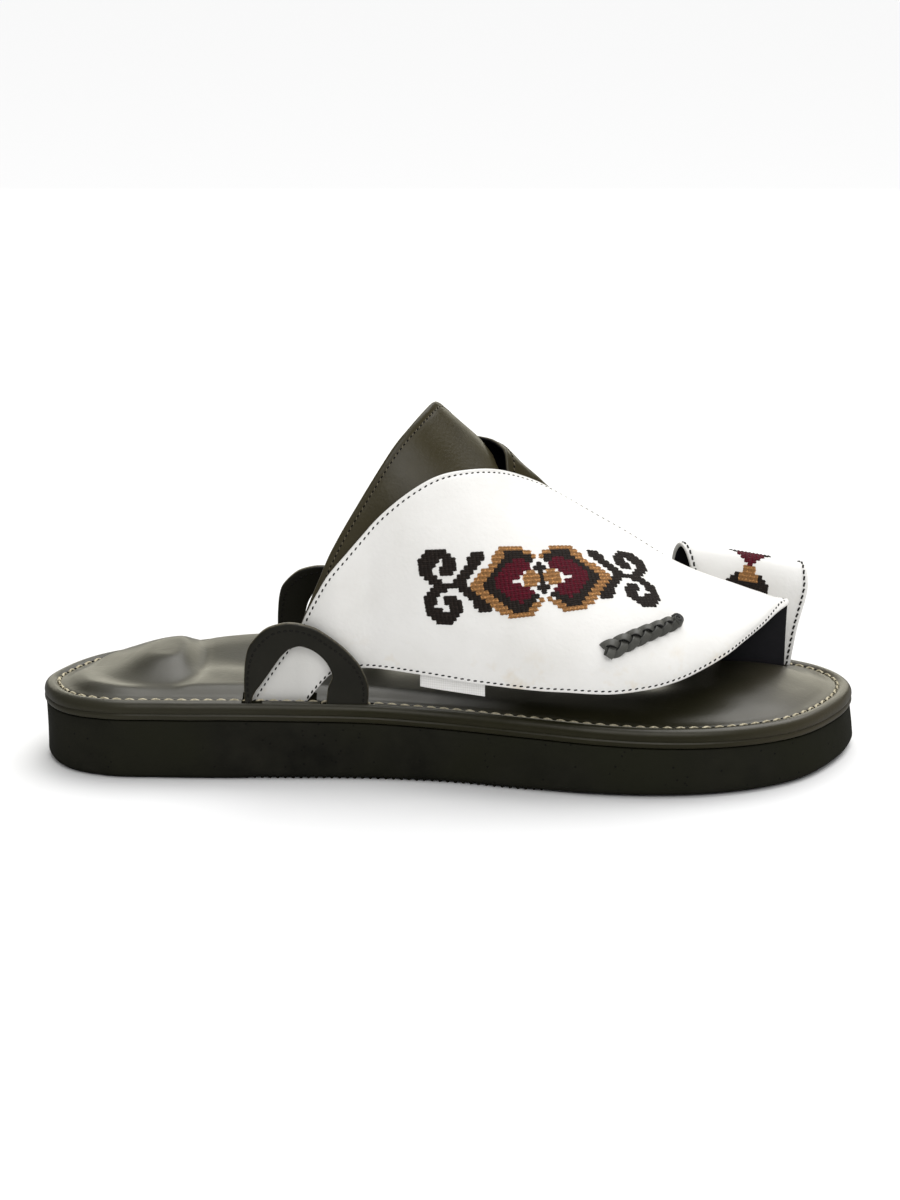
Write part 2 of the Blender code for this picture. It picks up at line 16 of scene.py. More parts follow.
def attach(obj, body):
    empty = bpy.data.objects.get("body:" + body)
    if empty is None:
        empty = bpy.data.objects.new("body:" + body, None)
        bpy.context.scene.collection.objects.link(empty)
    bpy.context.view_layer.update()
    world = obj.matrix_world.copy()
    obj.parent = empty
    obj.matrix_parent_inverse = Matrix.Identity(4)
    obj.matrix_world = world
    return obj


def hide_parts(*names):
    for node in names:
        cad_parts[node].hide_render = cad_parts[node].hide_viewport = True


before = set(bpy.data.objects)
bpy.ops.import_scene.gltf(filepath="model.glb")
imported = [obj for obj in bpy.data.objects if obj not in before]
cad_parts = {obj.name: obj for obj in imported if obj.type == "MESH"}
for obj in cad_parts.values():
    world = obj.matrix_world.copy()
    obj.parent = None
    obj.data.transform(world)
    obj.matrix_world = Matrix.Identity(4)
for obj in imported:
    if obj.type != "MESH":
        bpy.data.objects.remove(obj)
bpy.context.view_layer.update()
MM = 0.001


# ---- studio ------------------------------------------------------------------------------------
# A plain pale floor under one broad light overhead, a softbox above the camera and a low warm one
# behind, so that the leather shows long soft highlights and the sole only a short shadow.

CAMERA_PLACE = (0.0, -0.80339, 0.30118)
CAMERA_TILT = math.radians(73.0)
CAMERA_LENS = 70.89
FLOOR_REACH = 14.0
FLOOR_GREY = (0.80, 0.80, 0.80)
FLOOR_GREY_MIRRORED = (0.28, 0.28, 0.28)
AIR_WHITE = (1.0, 1.0, 1.0, 1.0)
AIR_LIGHT = 0.34
AIR_LIGHT_MIRRORED = 0.10

studio = bpy.context.scene
studio.view_settings.view_transform = "Standard"


def add_node(tree, kind, inputs=None, **settings):
    """One node with its settings, and its inputs given a value or joined to another output."""
    made = tree.nodes.new(kind)
    for name, value in settings.items():
        setattr(made, name, value)
    for key, value in (inputs or {}).items():
        if isinstance(value, bpy.types.NodeSocket):
            tree.links.new(value, made.inputs[key])
        else:
            made.inputs[key].default_value = value
    return made


def add_mesh(name, points, faces, finishes):
    """A smooth-shaded mesh object at the origin."""
    mesh = bpy.data.meshes.new(name)
    mesh.from_pydata([tuple(map(float, point)) for point in points], [], faces)
    for finish in finishes:
        mesh.materials.append(finish)
    mesh.shade_smooth()
    made = bpy.data.objects.new(name, mesh)
    studio.collection.objects.link(made)
    return made


def new_finish(name, **values):
    """A material whose principled shader has these plain values, its tree and its shader."""
    made = bpy.data.materials.new(name)
    made.use_nodes = True
    shader = made.node_tree.nodes["Principled BSDF"]
    for key, value in values.items():
        shader.inputs[key.replace("_", " ")].default_value = value
    return made, made.node_tree, shader


def blend_colours(tree, factor, first, second):
    """The colour output of a mix of two colours."""
    mixed = add_node(tree, "ShaderNodeMix", {0: factor}, data_type="RGBA")
    for index, colour in ((6, first), (7, second)):
        if isinstance(colour, bpy.types.NodeSocket):
            tree.links.new(colour, mixed.inputs[index])
        else:
            mixed.inputs[index].default_value = (*colour, 1.0)
    return mixed.outputs[2]


def add_lamp(name, kind, energy, place, aim, **settings):
    """A light at a place, turned to a point."""
    light = bpy.data.lights.new(name, kind)
    light.energy = energy
    for key, value in settings.items():
        setattr(light, key, value)
    lamp = bpy.data.objects.new(name, light)
    lamp.location = place
    lamp.rotation_euler = (Vector(aim) - Vector(place)).to_track_quat("-Z", "Y").to_euler()
    studio.collection.objects.link(lamp)


view = bpy.data.cameras.new("camera")
view.lens = CAMERA_LENS
view.clip_start = 0.01
camera = bpy.data.objects.new("camera", view)
camera.location = CAMERA_PLACE
camera.rotation_euler = (CAMERA_TILT, 0.0, 0.0)
studio.collection.objects.link(camera)
studio.camera = camera

floor_paint, tree, shader = new_finish("floor_paint", Roughness=0.9, Specular_IOR_Level=0.0)
ray = add_node(tree, "ShaderNodeLightPath").outputs
tree.links.new(blend_colours(tree, ray["Is Glossy Ray"], FLOOR_GREY, FLOOR_GREY_MIRRORED),
               shader.inputs["Base Color"])
corners = [(x, y, 0.0) for x, y in ((-1, -1), (1, -1), (1, 1), (-1, 1))]
floor = add_mesh("floor", np.array(corners) * FLOOR_REACH, [(0, 1, 2, 3)], [floor_paint])

world = bpy.data.worlds.new("studio_air")
world.use_nodes = True
studio.world = world
air = world.node_tree
seen = air.nodes["Background"]
seen.inputs["Color"].default_value = AIR_WHITE
seen.inputs["Strength"].default_value = 1.0
lit, mirrored = (add_node(air, "ShaderNodeBackground", {"Color": AIR_WHITE, "Strength": strength})
                 for strength in (AIR_LIGHT, AIR_LIGHT_MIRRORED))
ray = add_node(air, "ShaderNodeLightPath").outputs
fill = add_node(air, "ShaderNodeMixShader", {
    0: ray["Is Glossy Ray"], 1: lit.outputs[0], 2: mirrored.outputs[0]})
by_ray = add_node(air, "ShaderNodeMixShader", {
    0: ray["Is Camera Ray"], 1: fill.outputs[0], 2: seen.outputs[0]})
air.links.new(by_ray.outputs[0], air.nodes["World Output"].inputs["Surface"])

add_lamp("softbox_over", "SUN", 2.85, (0.38, 0.52, 1.6), (0, 0, 0), angle=math.radians(60))
add_lamp("softbox_front", "AREA", 13.5, (0.25, -1.35, 1.25), (0, 0, 0.05), shape="RECTANGLE",
         size=1.6, size_y=0.9)
add_lamp("softbox_back", "AREA", 9.0, (0.0, 1.45, 0.50), (0, 0, 0.03), shape="RECTANGLE",
         size=2.4, size_y=0.56, color=(1.0, 0.965, 0.80))


# ---- outsole -----------------------------------------------------------------------------------
# The real sole is one wedge of microcellular rubber, cut to shape and buffed, so its wall is matt,
# faintly mottled and pitted, with painted shade in its pits. Its tread is fine cross ribs from the
# front of the heel forward.

HALF_STEPS = 210
FINE_OUTLINE_STEPS = 2400
RIB_STEPS = 44
GAP = 0.3 * MM
BEAD_HEIGHT = 6.6 * MM
ARCH_START_Y = -5.0 * MM
ARCH_REACH = 30.0 * MM
SOLE_INSET = 0.6 * MM
SOLE_ROUNDING = 2.8 * MM
SOLE_TOP_ROUNDING = 0.6 * MM
TOE_SPRING = 0.6 * MM
SPRING_START_X = 112.0 * MM
SPRING_REACH = 34.0 * MM
TREAD_DEPTH = 0.6 * MM
TREAD_PITCH = 2.7 * MM
TREAD_START_X = -74.0 * MM
TREAD_END_X = 139.0 * MM
TREAD_SIDE_INSET = 2.4 * MM
RIB_WIDTH = 1.6 * MM
RIB_DEPTH = 1.3 * MM
RIB_LIFT = 0.8 * MM
RIB_TOE_INSET = 2.5 * MM
TREAD_FRONT_INSET = 7.0 * MM
TOE_FLARE = 1.5 * MM
WALL_LEVELS = 7
WALL_SLACK = 0.05 * MM
ROUNDING_STEPS = 9


def table(columns, rows, unit=MM):
    """A short table as one array for each named column, in metres unless unit is 1."""
    values = np.array(rows, float) * unit
    return dict(zip(columns.split(), values.T))


def through(xs, ys, x):
    """A smooth curve through the points that never overshoots them."""
    step = np.diff(xs)
    slope = np.diff(ys) / step
    tangent = np.concatenate([[slope[0]], np.zeros(len(xs) - 2), [slope[-1]]])
    for i in range(1, len(xs) - 1):
        if slope[i - 1] * slope[i] > 0:
            near = 2 * step[i] + step[i - 1]
            far = step[i] + 2 * step[i - 1]
            tangent[i] = (near + far) / (near / slope[i - 1] + far / slope[i])
    x = np.clip(x, xs[0], xs[-1])
    i = np.clip(np.searchsorted(xs, x, side="right") - 1, 0, len(xs) - 2)
    t = (x - xs[i]) / step[i]
    ends = (2 * t**3 - 3 * t**2 + 1) * ys[i] + (3 * t**2 - 2 * t**3) * ys[i + 1]
    leans = (t**3 - 2 * t**2 + t) * tangent[i] + (t**3 - t**2) * tangent[i + 1]
    return ends + leans * step[i]


def at(shape, column, x):
    """One column of a table as a smooth curve over its x."""
    return through(shape["x"], shape[column], x)


def smooth_step(value):
    value = np.clip(value, 0.0, 1.0)
    return value * value * (3 - 2 * value)


def ramp(value, start, reach):
    """0 up to start, rising smoothly to 1 over the reach; a reach below 0 runs the other way."""
    return smooth_step((value - start) / reach)


def run_along(path):
    """The distance along a path at each of its points."""
    return np.concatenate([[0], np.cumsum(np.linalg.norm(np.diff(path, axis=0), axis=1))])


def unit(vectors):
    return vectors / np.linalg.norm(vectors, axis=-1, keepdims=True)


# The sole's outer edge, from the back of the heel along the outer side to the toe, and back
# along the inner side.
OUTER_HALF = table("x y", [
    (-145.0, -3.0), (-142.4, -13.8), (-134.5, -24.8), (-121.5, -31.2), (-100.0, -33.2),
    (-60.0, -34.0), (-25.0, -34.9), (0.0, -38.2), (25.0, -44.6), (50.0, -50.0),
    (69.0, -51.5), (88.0, -49.7), (106.0, -44.0), (122.0, -34.3), (134.5, -20.0),
    (142.5, -5.5), (145.5, 6.5),
])
INNER_HALF = table("x y", [
    (145.5, 6.5), (143.6, 16.0), (138.0, 25.0), (126.5, 33.5), (108.0, 40.6),
    (85.0, 45.3), (62.0, 47.0), (38.0, 44.6), (12.0, 38.7), (-15.0, 34.8),
    (-50.0, 33.3), (-88.0, 32.9), (-115.0, 30.2), (-130.5, 22.2), (-140.7, 9.5), (-145.0, -3.0),
])
# Height of the footbed's rim, its crown above the rim, and the lift of the inner side at the arch.
HEIGHTS = table("x rim crown arch", [
    (-145.0, 27.8, 0.4, 0.0), (-115.0, 28.4, 1.3, 0.6), (-92.0, 28.5, 1.8, 2.5),
    (-80.0, 28.6, 2.0, 3.8), (-68.0, 28.5, 2.2, 4.7), (-30.0, 27.9, 2.6, 5.2),
    (0.0, 26.8, 3.4, 3.6), (30.0, 26.2, 4.2, 0.8), (60.0, 25.2, 4.8, 0.0),
    (90.0, 24.2, 5.0, 0.0), (120.0, 23.3, 4.4, 0.0), (145.5, 22.8, 2.0, 0.0),
])


def half_outline(half):
    """Even steps along one half of the outline, on a smooth curve through its points."""
    marks = np.stack([half["x"], half["y"]], 1)
    along = run_along(marks)
    tangents = np.gradient(marks, along, axis=0)
    tangents[0] = (0.0, np.sign(marks[1][1] - marks[0][1]))
    tangents[-1] = (0.0, np.sign(marks[-1][1] - marks[-2][1]))
    fine = np.linspace(0, along[-1], FINE_OUTLINE_STEPS)
    i = np.clip(np.searchsorted(along, fine, side="right") - 1, 0, len(along) - 2)
    step = (along[i + 1] - along[i])[:, None]
    t = ((fine - along[i])[:, None]) / step
    curve = (2 * t**3 - 3 * t**2 + 1) * marks[i] + (3 * t**2 - 2 * t**3) * marks[i + 1]
    curve += ((t**3 - 2 * t**2 + t) * tangents[i] + (t**3 - t**2) * tangents[i + 1]) * step
    length = run_along(curve)
    even = np.linspace(0, length[-1], HALF_STEPS + 1)
    return np.stack([np.interp(even, length, curve[:, k]) for k in (0, 1)], 1)


OUTLINE = np.concatenate([half_outline(OUTER_HALF)[:-1], half_outline(INNER_HALF)[:-1]])
ahead = np.roll(OUTLINE, -1, axis=0) - np.roll(OUTLINE, 1, axis=0)
OUTWARD = np.stack([ahead[:, 1], -ahead[:, 0]], 1) / np.linalg.norm(ahead, axis=1)[:, None]


def rim_height(x, y):
    """The top of the rolled rim, which rises on the inner side at the arch."""
    return at(HEIGHTS, "rim", x) + at(HEIGHTS, "arch", x) * ramp(y, ARCH_START_Y, ARCH_REACH)


def sole_top(x, y):
    """The joint between the rubber and the footbed's rolled edge."""
    return rim_height(x, y) - BEAD_HEIGHT - GAP


def ground_lift(x):
    """The small spring of the toe, nothing along the rest of the sole."""
    return TOE_SPRING * ramp(x, SPRING_START_X, SPRING_REACH) ** 2


def ring_at(distance, height):
    """One ring inset by a distance, with its height as a function of place."""
    flat = OUTLINE - OUTWARD * np.reshape(distance, (-1, 1))
    return np.column_stack([flat, height(flat[:, 0], flat[:, 1])])


def face_outwards(mesh):
    shape = bmesh.new()
    shape.from_mesh(mesh)
    bmesh.ops.recalc_face_normals(shape, faces=shape.faces)
    shape.to_mesh(mesh)
    shape.free()


def settle(piece, body, replaced=()):
    """Sets a finished piece on its body and hides the solids that it stands for."""
    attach(piece, body)
    if replaced:
        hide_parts(*replaced)


def slab(name, rings, top, bottom, finish):
    """A closed slab: rings of points from the top rim down the wall, capped by ribs across.

    Its UV map holds the distance along the outline and the depth down the rings, in metres.
    """
    count = len(OUTLINE)
    points = [point for ring in rings for point in ring]
    steps = np.linalg.norm(np.roll(OUTLINE, -1, axis=0) - OUTLINE, axis=1)
    along = np.concatenate([[0], np.cumsum(steps)])
    depth = [0.0]
    for above, below in zip(rings, rings[1:]):
        depth.append(depth[-1] + np.linalg.norm(above - below, axis=1).mean())
    faces, charts = [], []
    for level in range(len(rings) - 1):
        for i in range(count):
            j = (i + 1) % count
            upper, lower = level * count, (level + 1) * count
            faces.append((upper + i, lower + i, lower + j, upper + j))
            charts.append(((along[i], depth[level]), (along[i], depth[level + 1]),
                           (along[i + 1], depth[level + 1]), (along[i + 1], depth[level])))
    half = count // 2
    for ring_start, height, turned in ((0, top, False), ((len(rings) - 1) * count, bottom, True)):
        rows = [[ring_start] * (RIB_STEPS + 1)]
        for i in range(1, half):
            first, last = points[ring_start + i], points[ring_start + count - i]
            row = [ring_start + i]
            for k in range(1, RIB_STEPS):
                place = first + (last - first) * k / RIB_STEPS
                place[2] = height(place[0], place[1])
                row.append(len(points))
                points.append(place)
            rows.append(row + [ring_start + count - i])
        rows.append([ring_start + half] * (RIB_STEPS + 1))
        for above, below in zip(rows, rows[1:]):
            for k in range(RIB_STEPS):
                around = list(dict.fromkeys((above[k], below[k], below[k + 1], above[k + 1])))
                faces.append(tuple(around) if turned else tuple(reversed(around)))
                charts.append(((0.0, -1.0),) * len(around))
    made = add_mesh(name, points, faces, [finish])
    chart = made.data.uv_layers.new(name="along_rim")
    chart.data.foreach_set("uv", np.array([pair for face in charts for pair in face]).ravel())
    face_outwards(made.data)
    return made


def remap(tree, value, from_low, from_high, to_low=0.0, to_high=1.0):
    """A value taken from one range to another, and held at its ends."""
    return add_node(tree, "ShaderNodeMapRange", {
        "Value": value, "From Min": from_low, "From Max": from_high,
        "To Min": to_low, "To Max": to_high,
    }).outputs[0]


def combine(tree, operation, first, second):
    """The output of one sum on two values."""
    return add_node(tree, "ShaderNodeMath", {0: first, 1: second}, operation=operation).outputs[0]


def emboss(tree, shader, height, strength, distance):
    """Joins a fine relief to a shader."""
    bump = add_node(tree, "ShaderNodeBump", {"Strength": strength, "Distance": distance,
                                             "Height": height})
    tree.links.new(bump.outputs[0], shader.inputs["Normal"])


rubber, tree, shader = new_finish("buffed_rubber", Specular_IOR_Level=0.11)
place = add_node(tree, "ShaderNodeTexCoord").outputs["Object"]
clouds = add_node(tree, "ShaderNodeTexNoise", {"Vector": place, "Scale": 62.0, "Detail": 4.0,
                                               "Roughness": 0.62})
patches = add_node(tree, "ShaderNodeTexNoise", {"Vector": place, "Scale": 21.0, "Detail": 2.0})
crumbs = add_node(tree, "ShaderNodeTexNoise", {"Vector": place, "Scale": 1500.0, "Detail": 3.0,
                                               "Roughness": 0.7})
pits = add_node(tree, "ShaderNodeTexVoronoi", {"Vector": place, "Scale": 420.0})
specks = add_node(tree, "ShaderNodeTexVoronoi", {"Vector": place, "Scale": 150.0})
ground = blend_colours(tree, remap(tree, clouds.outputs[0], 0.35, 0.65),
                       (0.0074, 0.0073, 0.0048), (0.0150, 0.0144, 0.0099))
ground = blend_colours(tree, remap(tree, patches.outputs[0], 0.42, 0.66),
                       ground, (0.0125, 0.0128, 0.0066))
# The pits dent the relief and are painted darker, as painted shade in them.
pit_and_shade_mask = combine(tree, "MULTIPLY", remap(tree, pits.outputs["Distance"], 0.10, 0.21, 1.0, 0.0),
                   remap(tree, pits.outputs["Color"], 0.66, 0.70))
ground = blend_colours(tree, pit_and_shade_mask, ground, (0.005, 0.005, 0.0036))
speck_mask = combine(tree, "MULTIPLY",
                     remap(tree, specks.outputs["Distance"], 0.03, 0.055, 1.0, 0.0),
                     remap(tree, specks.outputs["Color"], 0.78, 0.8))
ground = blend_colours(tree, combine(tree, "MULTIPLY", speck_mask, 0.5), ground,
                       (0.16, 0.15, 0.11))
tree.links.new(ground, shader.inputs["Base Color"])
tree.links.new(remap(tree, clouds.outputs[0], 0.3, 0.7, 0.62, 0.82), shader.inputs["Roughness"])
relief = combine(tree, "SUBTRACT", combine(tree, "MULTIPLY", crumbs.outputs[0], 0.35),
                 combine(tree, "MULTIPLY", pit_and_shade_mask, 0.8))
emboss(tree, shader, relief, 0.8, 0.00016)


def tread_floor(x):
    """The underside between the ribs: level with the ground only under the heel."""
    return ground_lift(x) + TREAD_DEPTH * ramp(x, TREAD_START_X, 8 * MM)


def toe_flare(x):
    """How far the wall leans out at its foot, towards the toe."""
    return TOE_FLARE * ramp(x, 60 * MM, 70 * MM)


def wall_wander(x, z):
    """The slight unevenness of a wall buffed by hand."""
    return (0.12 * np.sin(x * 71.0 + 0.6) + 0.07 * np.sin(x * 167.0 + z * 90.0)) * MM


rings = [
    ring_at(SOLE_INSET + SOLE_TOP_ROUNDING, sole_top),
    ring_at(SOLE_INSET + 0.17 * MM, lambda x, y: sole_top(x, y) - 0.17 * MM),
    ring_at(SOLE_INSET, lambda x, y: sole_top(x, y) - SOLE_TOP_ROUNDING),
]
wall_low = tread_floor(OUTLINE[:, 0]) + SOLE_ROUNDING
wall_high = rings[-1][:, 2]
for part in np.linspace(0, 1, WALL_LEVELS + 1)[1:-1]:
    level = wall_high + (wall_low - wall_high) * part
    inset = SOLE_INSET + wall_wander(OUTLINE[:, 0], level) * math.sin(part * math.pi) + WALL_SLACK
    inset = inset - toe_flare(OUTLINE[:, 0]) * part
    rings.append(ring_at(inset, lambda x, y, level=level: level))
for angle in np.linspace(0, math.pi / 2, ROUNDING_STEPS):
    inset = SOLE_INSET + SOLE_ROUNDING * (1 - math.cos(angle)) - toe_flare(OUTLINE[:, 0])
    lift = SOLE_ROUNDING * (1 - math.sin(angle))
    rings.append(ring_at(inset, lambda x, y, lift=lift: tread_floor(x) + lift))
outsole = slab("outsole_rubber", rings, sole_top, lambda x, y: tread_floor(x), rubber)
settle(outsole, "root", ("outsole",))


def new_tree(name, inputs):
    """An empty geometry node tree with a geometry in and out and these named inputs."""
    made = bpy.data.node_groups.new(name, "GeometryNodeTree")
    made.interface.new_socket("Geometry", in_out="INPUT", socket_type="NodeSocketGeometry")
    for label, kind in inputs:
        made.interface.new_socket(label, in_out="INPUT", socket_type=f"NodeSocket{kind}")
    made.interface.new_socket("Geometry", in_out="OUTPUT", socket_type="NodeSocketGeometry")
    source = made.nodes.new("NodeGroupInput").outputs
    return made, source


def end_tree(made, geometry, finish):
    """Realises what the tree made, gives it its material and ends the tree."""
    real = add_node(made, "GeometryNodeRealizeInstances", {0: geometry})
    coated = add_node(made, "GeometryNodeSetMaterial", {0: real.outputs[0], "Material": finish})
    add_node(made, "NodeGroupOutput", {0: coated.outputs[0]})


def grow(name, base, rows, values, replaced=(), marks=None):
    """Runs a tree on a plain wire mesh and keeps the result as one plain mesh piece.

    Rows are lists of points, and marks are arrays of values stored on those points.
    """
    points, edges = [], []
    for row in rows:
        edges += [(len(points) + i, len(points) + i + 1) for i in range(len(row) - 1)]
        points += [tuple(map(float, point)) for point in row]
    wire = bpy.data.meshes.new(name + "_wire")
    wire.from_pydata(points, edges, [])
    for label, data in (marks or {}).items():
        data = np.asarray(data, float)
        kind = "FLOAT" if data.ndim == 1 else "FLOAT_VECTOR"
        field = wire.attributes.new(label, kind, "POINT")
        field.data.foreach_set("value" if kind == "FLOAT" else "vector", data.ravel())
    holder = bpy.data.objects.new(name + "_wire", wire)
    studio.collection.objects.link(holder)
    modifier = holder.modifiers.new(name, "NODES")
    modifier.node_group = base
    for item in base.interface.items_tree:
        if item.item_type == "SOCKET" and item.in_out == "INPUT" and item.name in values:
            modifier[item.identifier] = values[item.name]
    graph = bpy.context.evaluated_depsgraph_get()
    mesh = bpy.data.meshes.new_from_object(holder.evaluated_get(graph), depsgraph=graph)
    mesh.name = name
    bpy.data.objects.remove(holder)
    made = bpy.data.objects.new(name, mesh)
    studio.collection.objects.link(made)
    mesh.shade_smooth()
    settle(made, "root", replaced)


rib_tree, given = new_tree("tread_ribs", [
    ("Rib width", "Float"), ("Rib depth", "Float"), ("Finish", "Material"),
])
rib_path = add_node(rib_tree, "GeometryNodeMeshToCurve", {0: given[0]})
rib_profile = add_node(rib_tree, "GeometryNodeCurvePrimitiveCircle", {
    "Resolution": 8, "Radius": 0.5,
})
rib_size = add_node(rib_tree, "ShaderNodeCombineXYZ", {
    0: given["Rib depth"], 1: given["Rib width"], 2: 1.0,
})
rib_section = add_node(rib_tree, "GeometryNodeTransform", {
    0: rib_profile.outputs[0], "Scale": rib_size.outputs[0],
})
rib_body = add_node(rib_tree, "GeometryNodeCurveToMesh", {
    0: rib_path.outputs[0], 1: rib_section.outputs[0], "Fill Caps": True,
})
end_tree(rib_tree, rib_body.outputs[0], given["Finish"])

outer_side = half_outline(OUTER_HALF)
inner_side = half_outline(INNER_HALF)[::-1]
rib_rows = []
for x in np.arange(TREAD_START_X + 3 * MM, TREAD_END_X, TREAD_PITCH):
    inset = TREAD_SIDE_INSET + TREAD_FRONT_INSET * ramp(x, 24 * MM, 30 * MM)
    low = np.interp(x, outer_side[:, 0], outer_side[:, 1]) + inset
    high = np.interp(x, inner_side[:, 0], inner_side[:, 1]) - inset
    shorter = RIB_TOE_INSET * ramp(x, SPRING_START_X, SPRING_REACH)
    z = ground_lift(x) + RIB_LIFT
    rib_rows.append([(x, y, z) for y in np.linspace(low + shorter, high - shorter, 3)])
grow("outsole_tread", rib_tree, rib_rows, {
    "Rib width": RIB_WIDTH, "Rib depth": RIB_DEPTH, "Finish": rubber,
})


# ---- footbed -----------------------------------------------------------------------------------
# The real footbed is a padded board wrapped in smooth olive leather. The leather is rolled over a
# cord at the edge, sewn down inside the roll with gold thread, and raised over a small heel pad.

PADDING_START = 5.0 * MM
PADDING_REACH = 24.0 * MM
RIM_DIP = 0.5 * MM
EDGE_PADDING = table("x height", [(-145.0, 2.6), (-30.0, 2.5), (10.0, 1.4), (145.5, 1.1)])
SEAM_INSET = 5.3 * MM
SEAM_DROP = 0.82 * MM
FOOT_SEAM_PITCH = 4.55
FAR_PADDING = 0.5 * MM
# The far side of the rim swells a little sooner, from the heel to the waist.
FAR_SIDE_START = 2.0 * MM
FAR_SIDE_REACH = 14.0 * MM
FAR_REAR_START_X = -138.0 * MM
FAR_REAR_REACH = 16.0 * MM
FAR_FRONT_END_X = -42.0 * MM
FAR_FRONT_REACH = 20.0 * MM
# The edge's swell starts just inside the seam and is full after this reach, or sooner there.
SWELL_START = 5.6 * MM
SWELL_REACH = 9.0
SWELL_SOONER = 4.6
HEEL_PAD = {"x": -99.5 * MM, "y": 6.8 * MM, "rear": 22.5 * MM, "front": 9.5 * MM,
            "wide": 21.5 * MM, "height": 4.5 * MM, "foot": 1.12, "edge": 0.78, "doming": 0.18,
            "squareness": 2.2}
PAD_VALLEY = {"away": 1.22, "width": 0.16, "depth": 0.14}
SLIT_CLEARANCE = 0.3 * MM
SLIT_END_ROOM = 1.2 * MM
SLIT_TOP = 45.0 * MM


def edge_distance(x, y):
    """How far inside the outline each place lies."""
    place = np.stack([np.ravel(x), np.ravel(y)], 1)
    apart = [np.linalg.norm(spot - OUTLINE, axis=1).min() for spot in place]
    return np.array(apart).reshape(np.shape(x))


def pad_height(x, y):
    """The raised heel pad, with the shallow valley that the leather makes round its foot."""
    power = HEEL_PAD["squareness"]
    long = np.where(x < HEEL_PAD["x"], HEEL_PAD["rear"], HEEL_PAD["front"])
    away = (np.abs((x - HEEL_PAD["x"]) / long) ** power
            + np.abs((y - HEEL_PAD["y"]) / HEEL_PAD["wide"]) ** power) ** (1 / power)
    dome = ramp(away, HEEL_PAD["foot"], -HEEL_PAD["edge"])
    dome = dome * (1 - HEEL_PAD["doming"] * np.clip(away, 0, 1) ** 2)
    valley = np.exp(-(((away - PAD_VALLEY["away"]) / PAD_VALLEY["width"]) ** 2))
    return HEEL_PAD["height"] * (dome - PAD_VALLEY["depth"] * valley)


def footbed_top(x, y):
    """The padded top: crowned in the middle, swollen at the edge and raised over the heel pad."""
    inset = edge_distance(x, y)
    inside = ramp(inset, PADDING_START, PADDING_REACH)
    base = rim_height(x, y) - RIM_DIP + (at(HEIGHTS, "crown", x) + RIM_DIP) * inside
    far = (ramp(y, FAR_SIDE_START, FAR_SIDE_REACH) * ramp(x, FAR_REAR_START_X, FAR_REAR_REACH)
           * ramp(x, FAR_FRONT_END_X, -FAR_FRONT_REACH))
    rise = ramp(inset, SWELL_START, (SWELL_REACH - SWELL_SOONER * far) * MM) * (1 - 0.6 * inside)
    base = base + (at(EDGE_PADDING, "height", x) + FAR_PADDING * far) * rise
    fold = 0.10 * MM * np.sin(x * 210.0 + y * 130.0) * np.sin(y * 170.0 - x * 40.0) * inside
    return base + fold + pad_height(x, y) * ramp(inset, 6.5 * MM, 5 * MM)


# The leathers' grain: a relief of pores, fibres and creases, a change of tone and one of polish.
grain = bpy.data.node_groups.new("leather_grain", "ShaderNodeTree")
for label, kind in (("Place", "Vector"), ("Pore size", "Float"), ("Crease size", "Float")):
    grain.interface.new_socket(label, in_out="INPUT", socket_type=f"NodeSocket{kind}")
for label in ("Relief", "Tone", "Polish"):
    grain.interface.new_socket(label, in_out="OUTPUT", socket_type="NodeSocketFloat")
given = grain.nodes.new("NodeGroupInput").outputs
pores = add_node(grain, "ShaderNodeTexVoronoi", {
    "Vector": given["Place"], "Scale": given["Pore size"]}, feature="SMOOTH_F1")
fibres = add_node(grain, "ShaderNodeTexNoise", {
    "Vector": given["Place"], "Scale": 1900.0, "Detail": 2.0})
creases = add_node(grain, "ShaderNodeTexNoise", {
    "Vector": given["Place"], "Scale": given["Crease size"], "Detail": 3.0, "Distortion": 0.6})
folds = combine(grain, "ABSOLUTE", combine(grain, "SUBTRACT", creases.outputs[0], 0.5), 0.0)
folds = remap(grain, folds, 0.0, 0.045)
height = combine(grain, "ADD", combine(grain, "MULTIPLY", pores.outputs["Distance"], 0.55),
                 combine(grain, "MULTIPLY", fibres.outputs[0], 0.30))
height = combine(grain, "ADD", height, combine(grain, "MULTIPLY", folds, 0.35))
tone = add_node(grain, "ShaderNodeTexNoise", {
    "Vector": given["Place"], "Scale": 34.0, "Detail": 4.0, "Roughness": 0.6})
polish = add_node(grain, "ShaderNodeTexNoise", {
    "Vector": given["Place"], "Scale": 75.0, "Detail": 3.0})
add_node(grain, "NodeGroupOutput", {
    "Relief": height, "Tone": remap(grain, tone.outputs[0], 0.32, 0.68),
    "Polish": remap(grain, polish.outputs[0], 0.3, 0.7),
})


def leather_grain(tree, pore_size, crease_size):
    """The grain group on this piece's own coordinates."""
    place = add_node(tree, "ShaderNodeTexCoord").outputs["Object"]
    made = add_node(tree, "ShaderNodeGroup", node_tree=grain)
    tree.links.new(place, made.inputs["Place"])
    made.inputs["Pore size"].default_value = pore_size
    made.inputs["Crease size"].default_value = crease_size
    return place, made.outputs


def finish_leather(tree, shader, tone, skin, smoothest, roughest, strength, distance):
    """Joins a leather's colour, its range of roughness and its grain to the shader."""
    tree.links.new(tone, shader.inputs["Base Color"])
    tree.links.new(remap(tree, skin["Polish"], 0.0, 1.0, smoothest, roughest),
                   shader.inputs["Roughness"])
    emboss(tree, shader, skin["Relief"], strength, distance)


wrap, tree, shader = new_finish("wrapped_leather", Specular_IOR_Level=0.22, Coat_Roughness=0.35,
                                Specular_Tint=(1.0, 0.95, 0.82, 1.0))
place, skin = leather_grain(tree, 900.0, 38.0)
worn = blend_colours(tree, skin["Tone"], (0.0118, 0.0110, 0.0046), (0.0190, 0.0176, 0.0080))
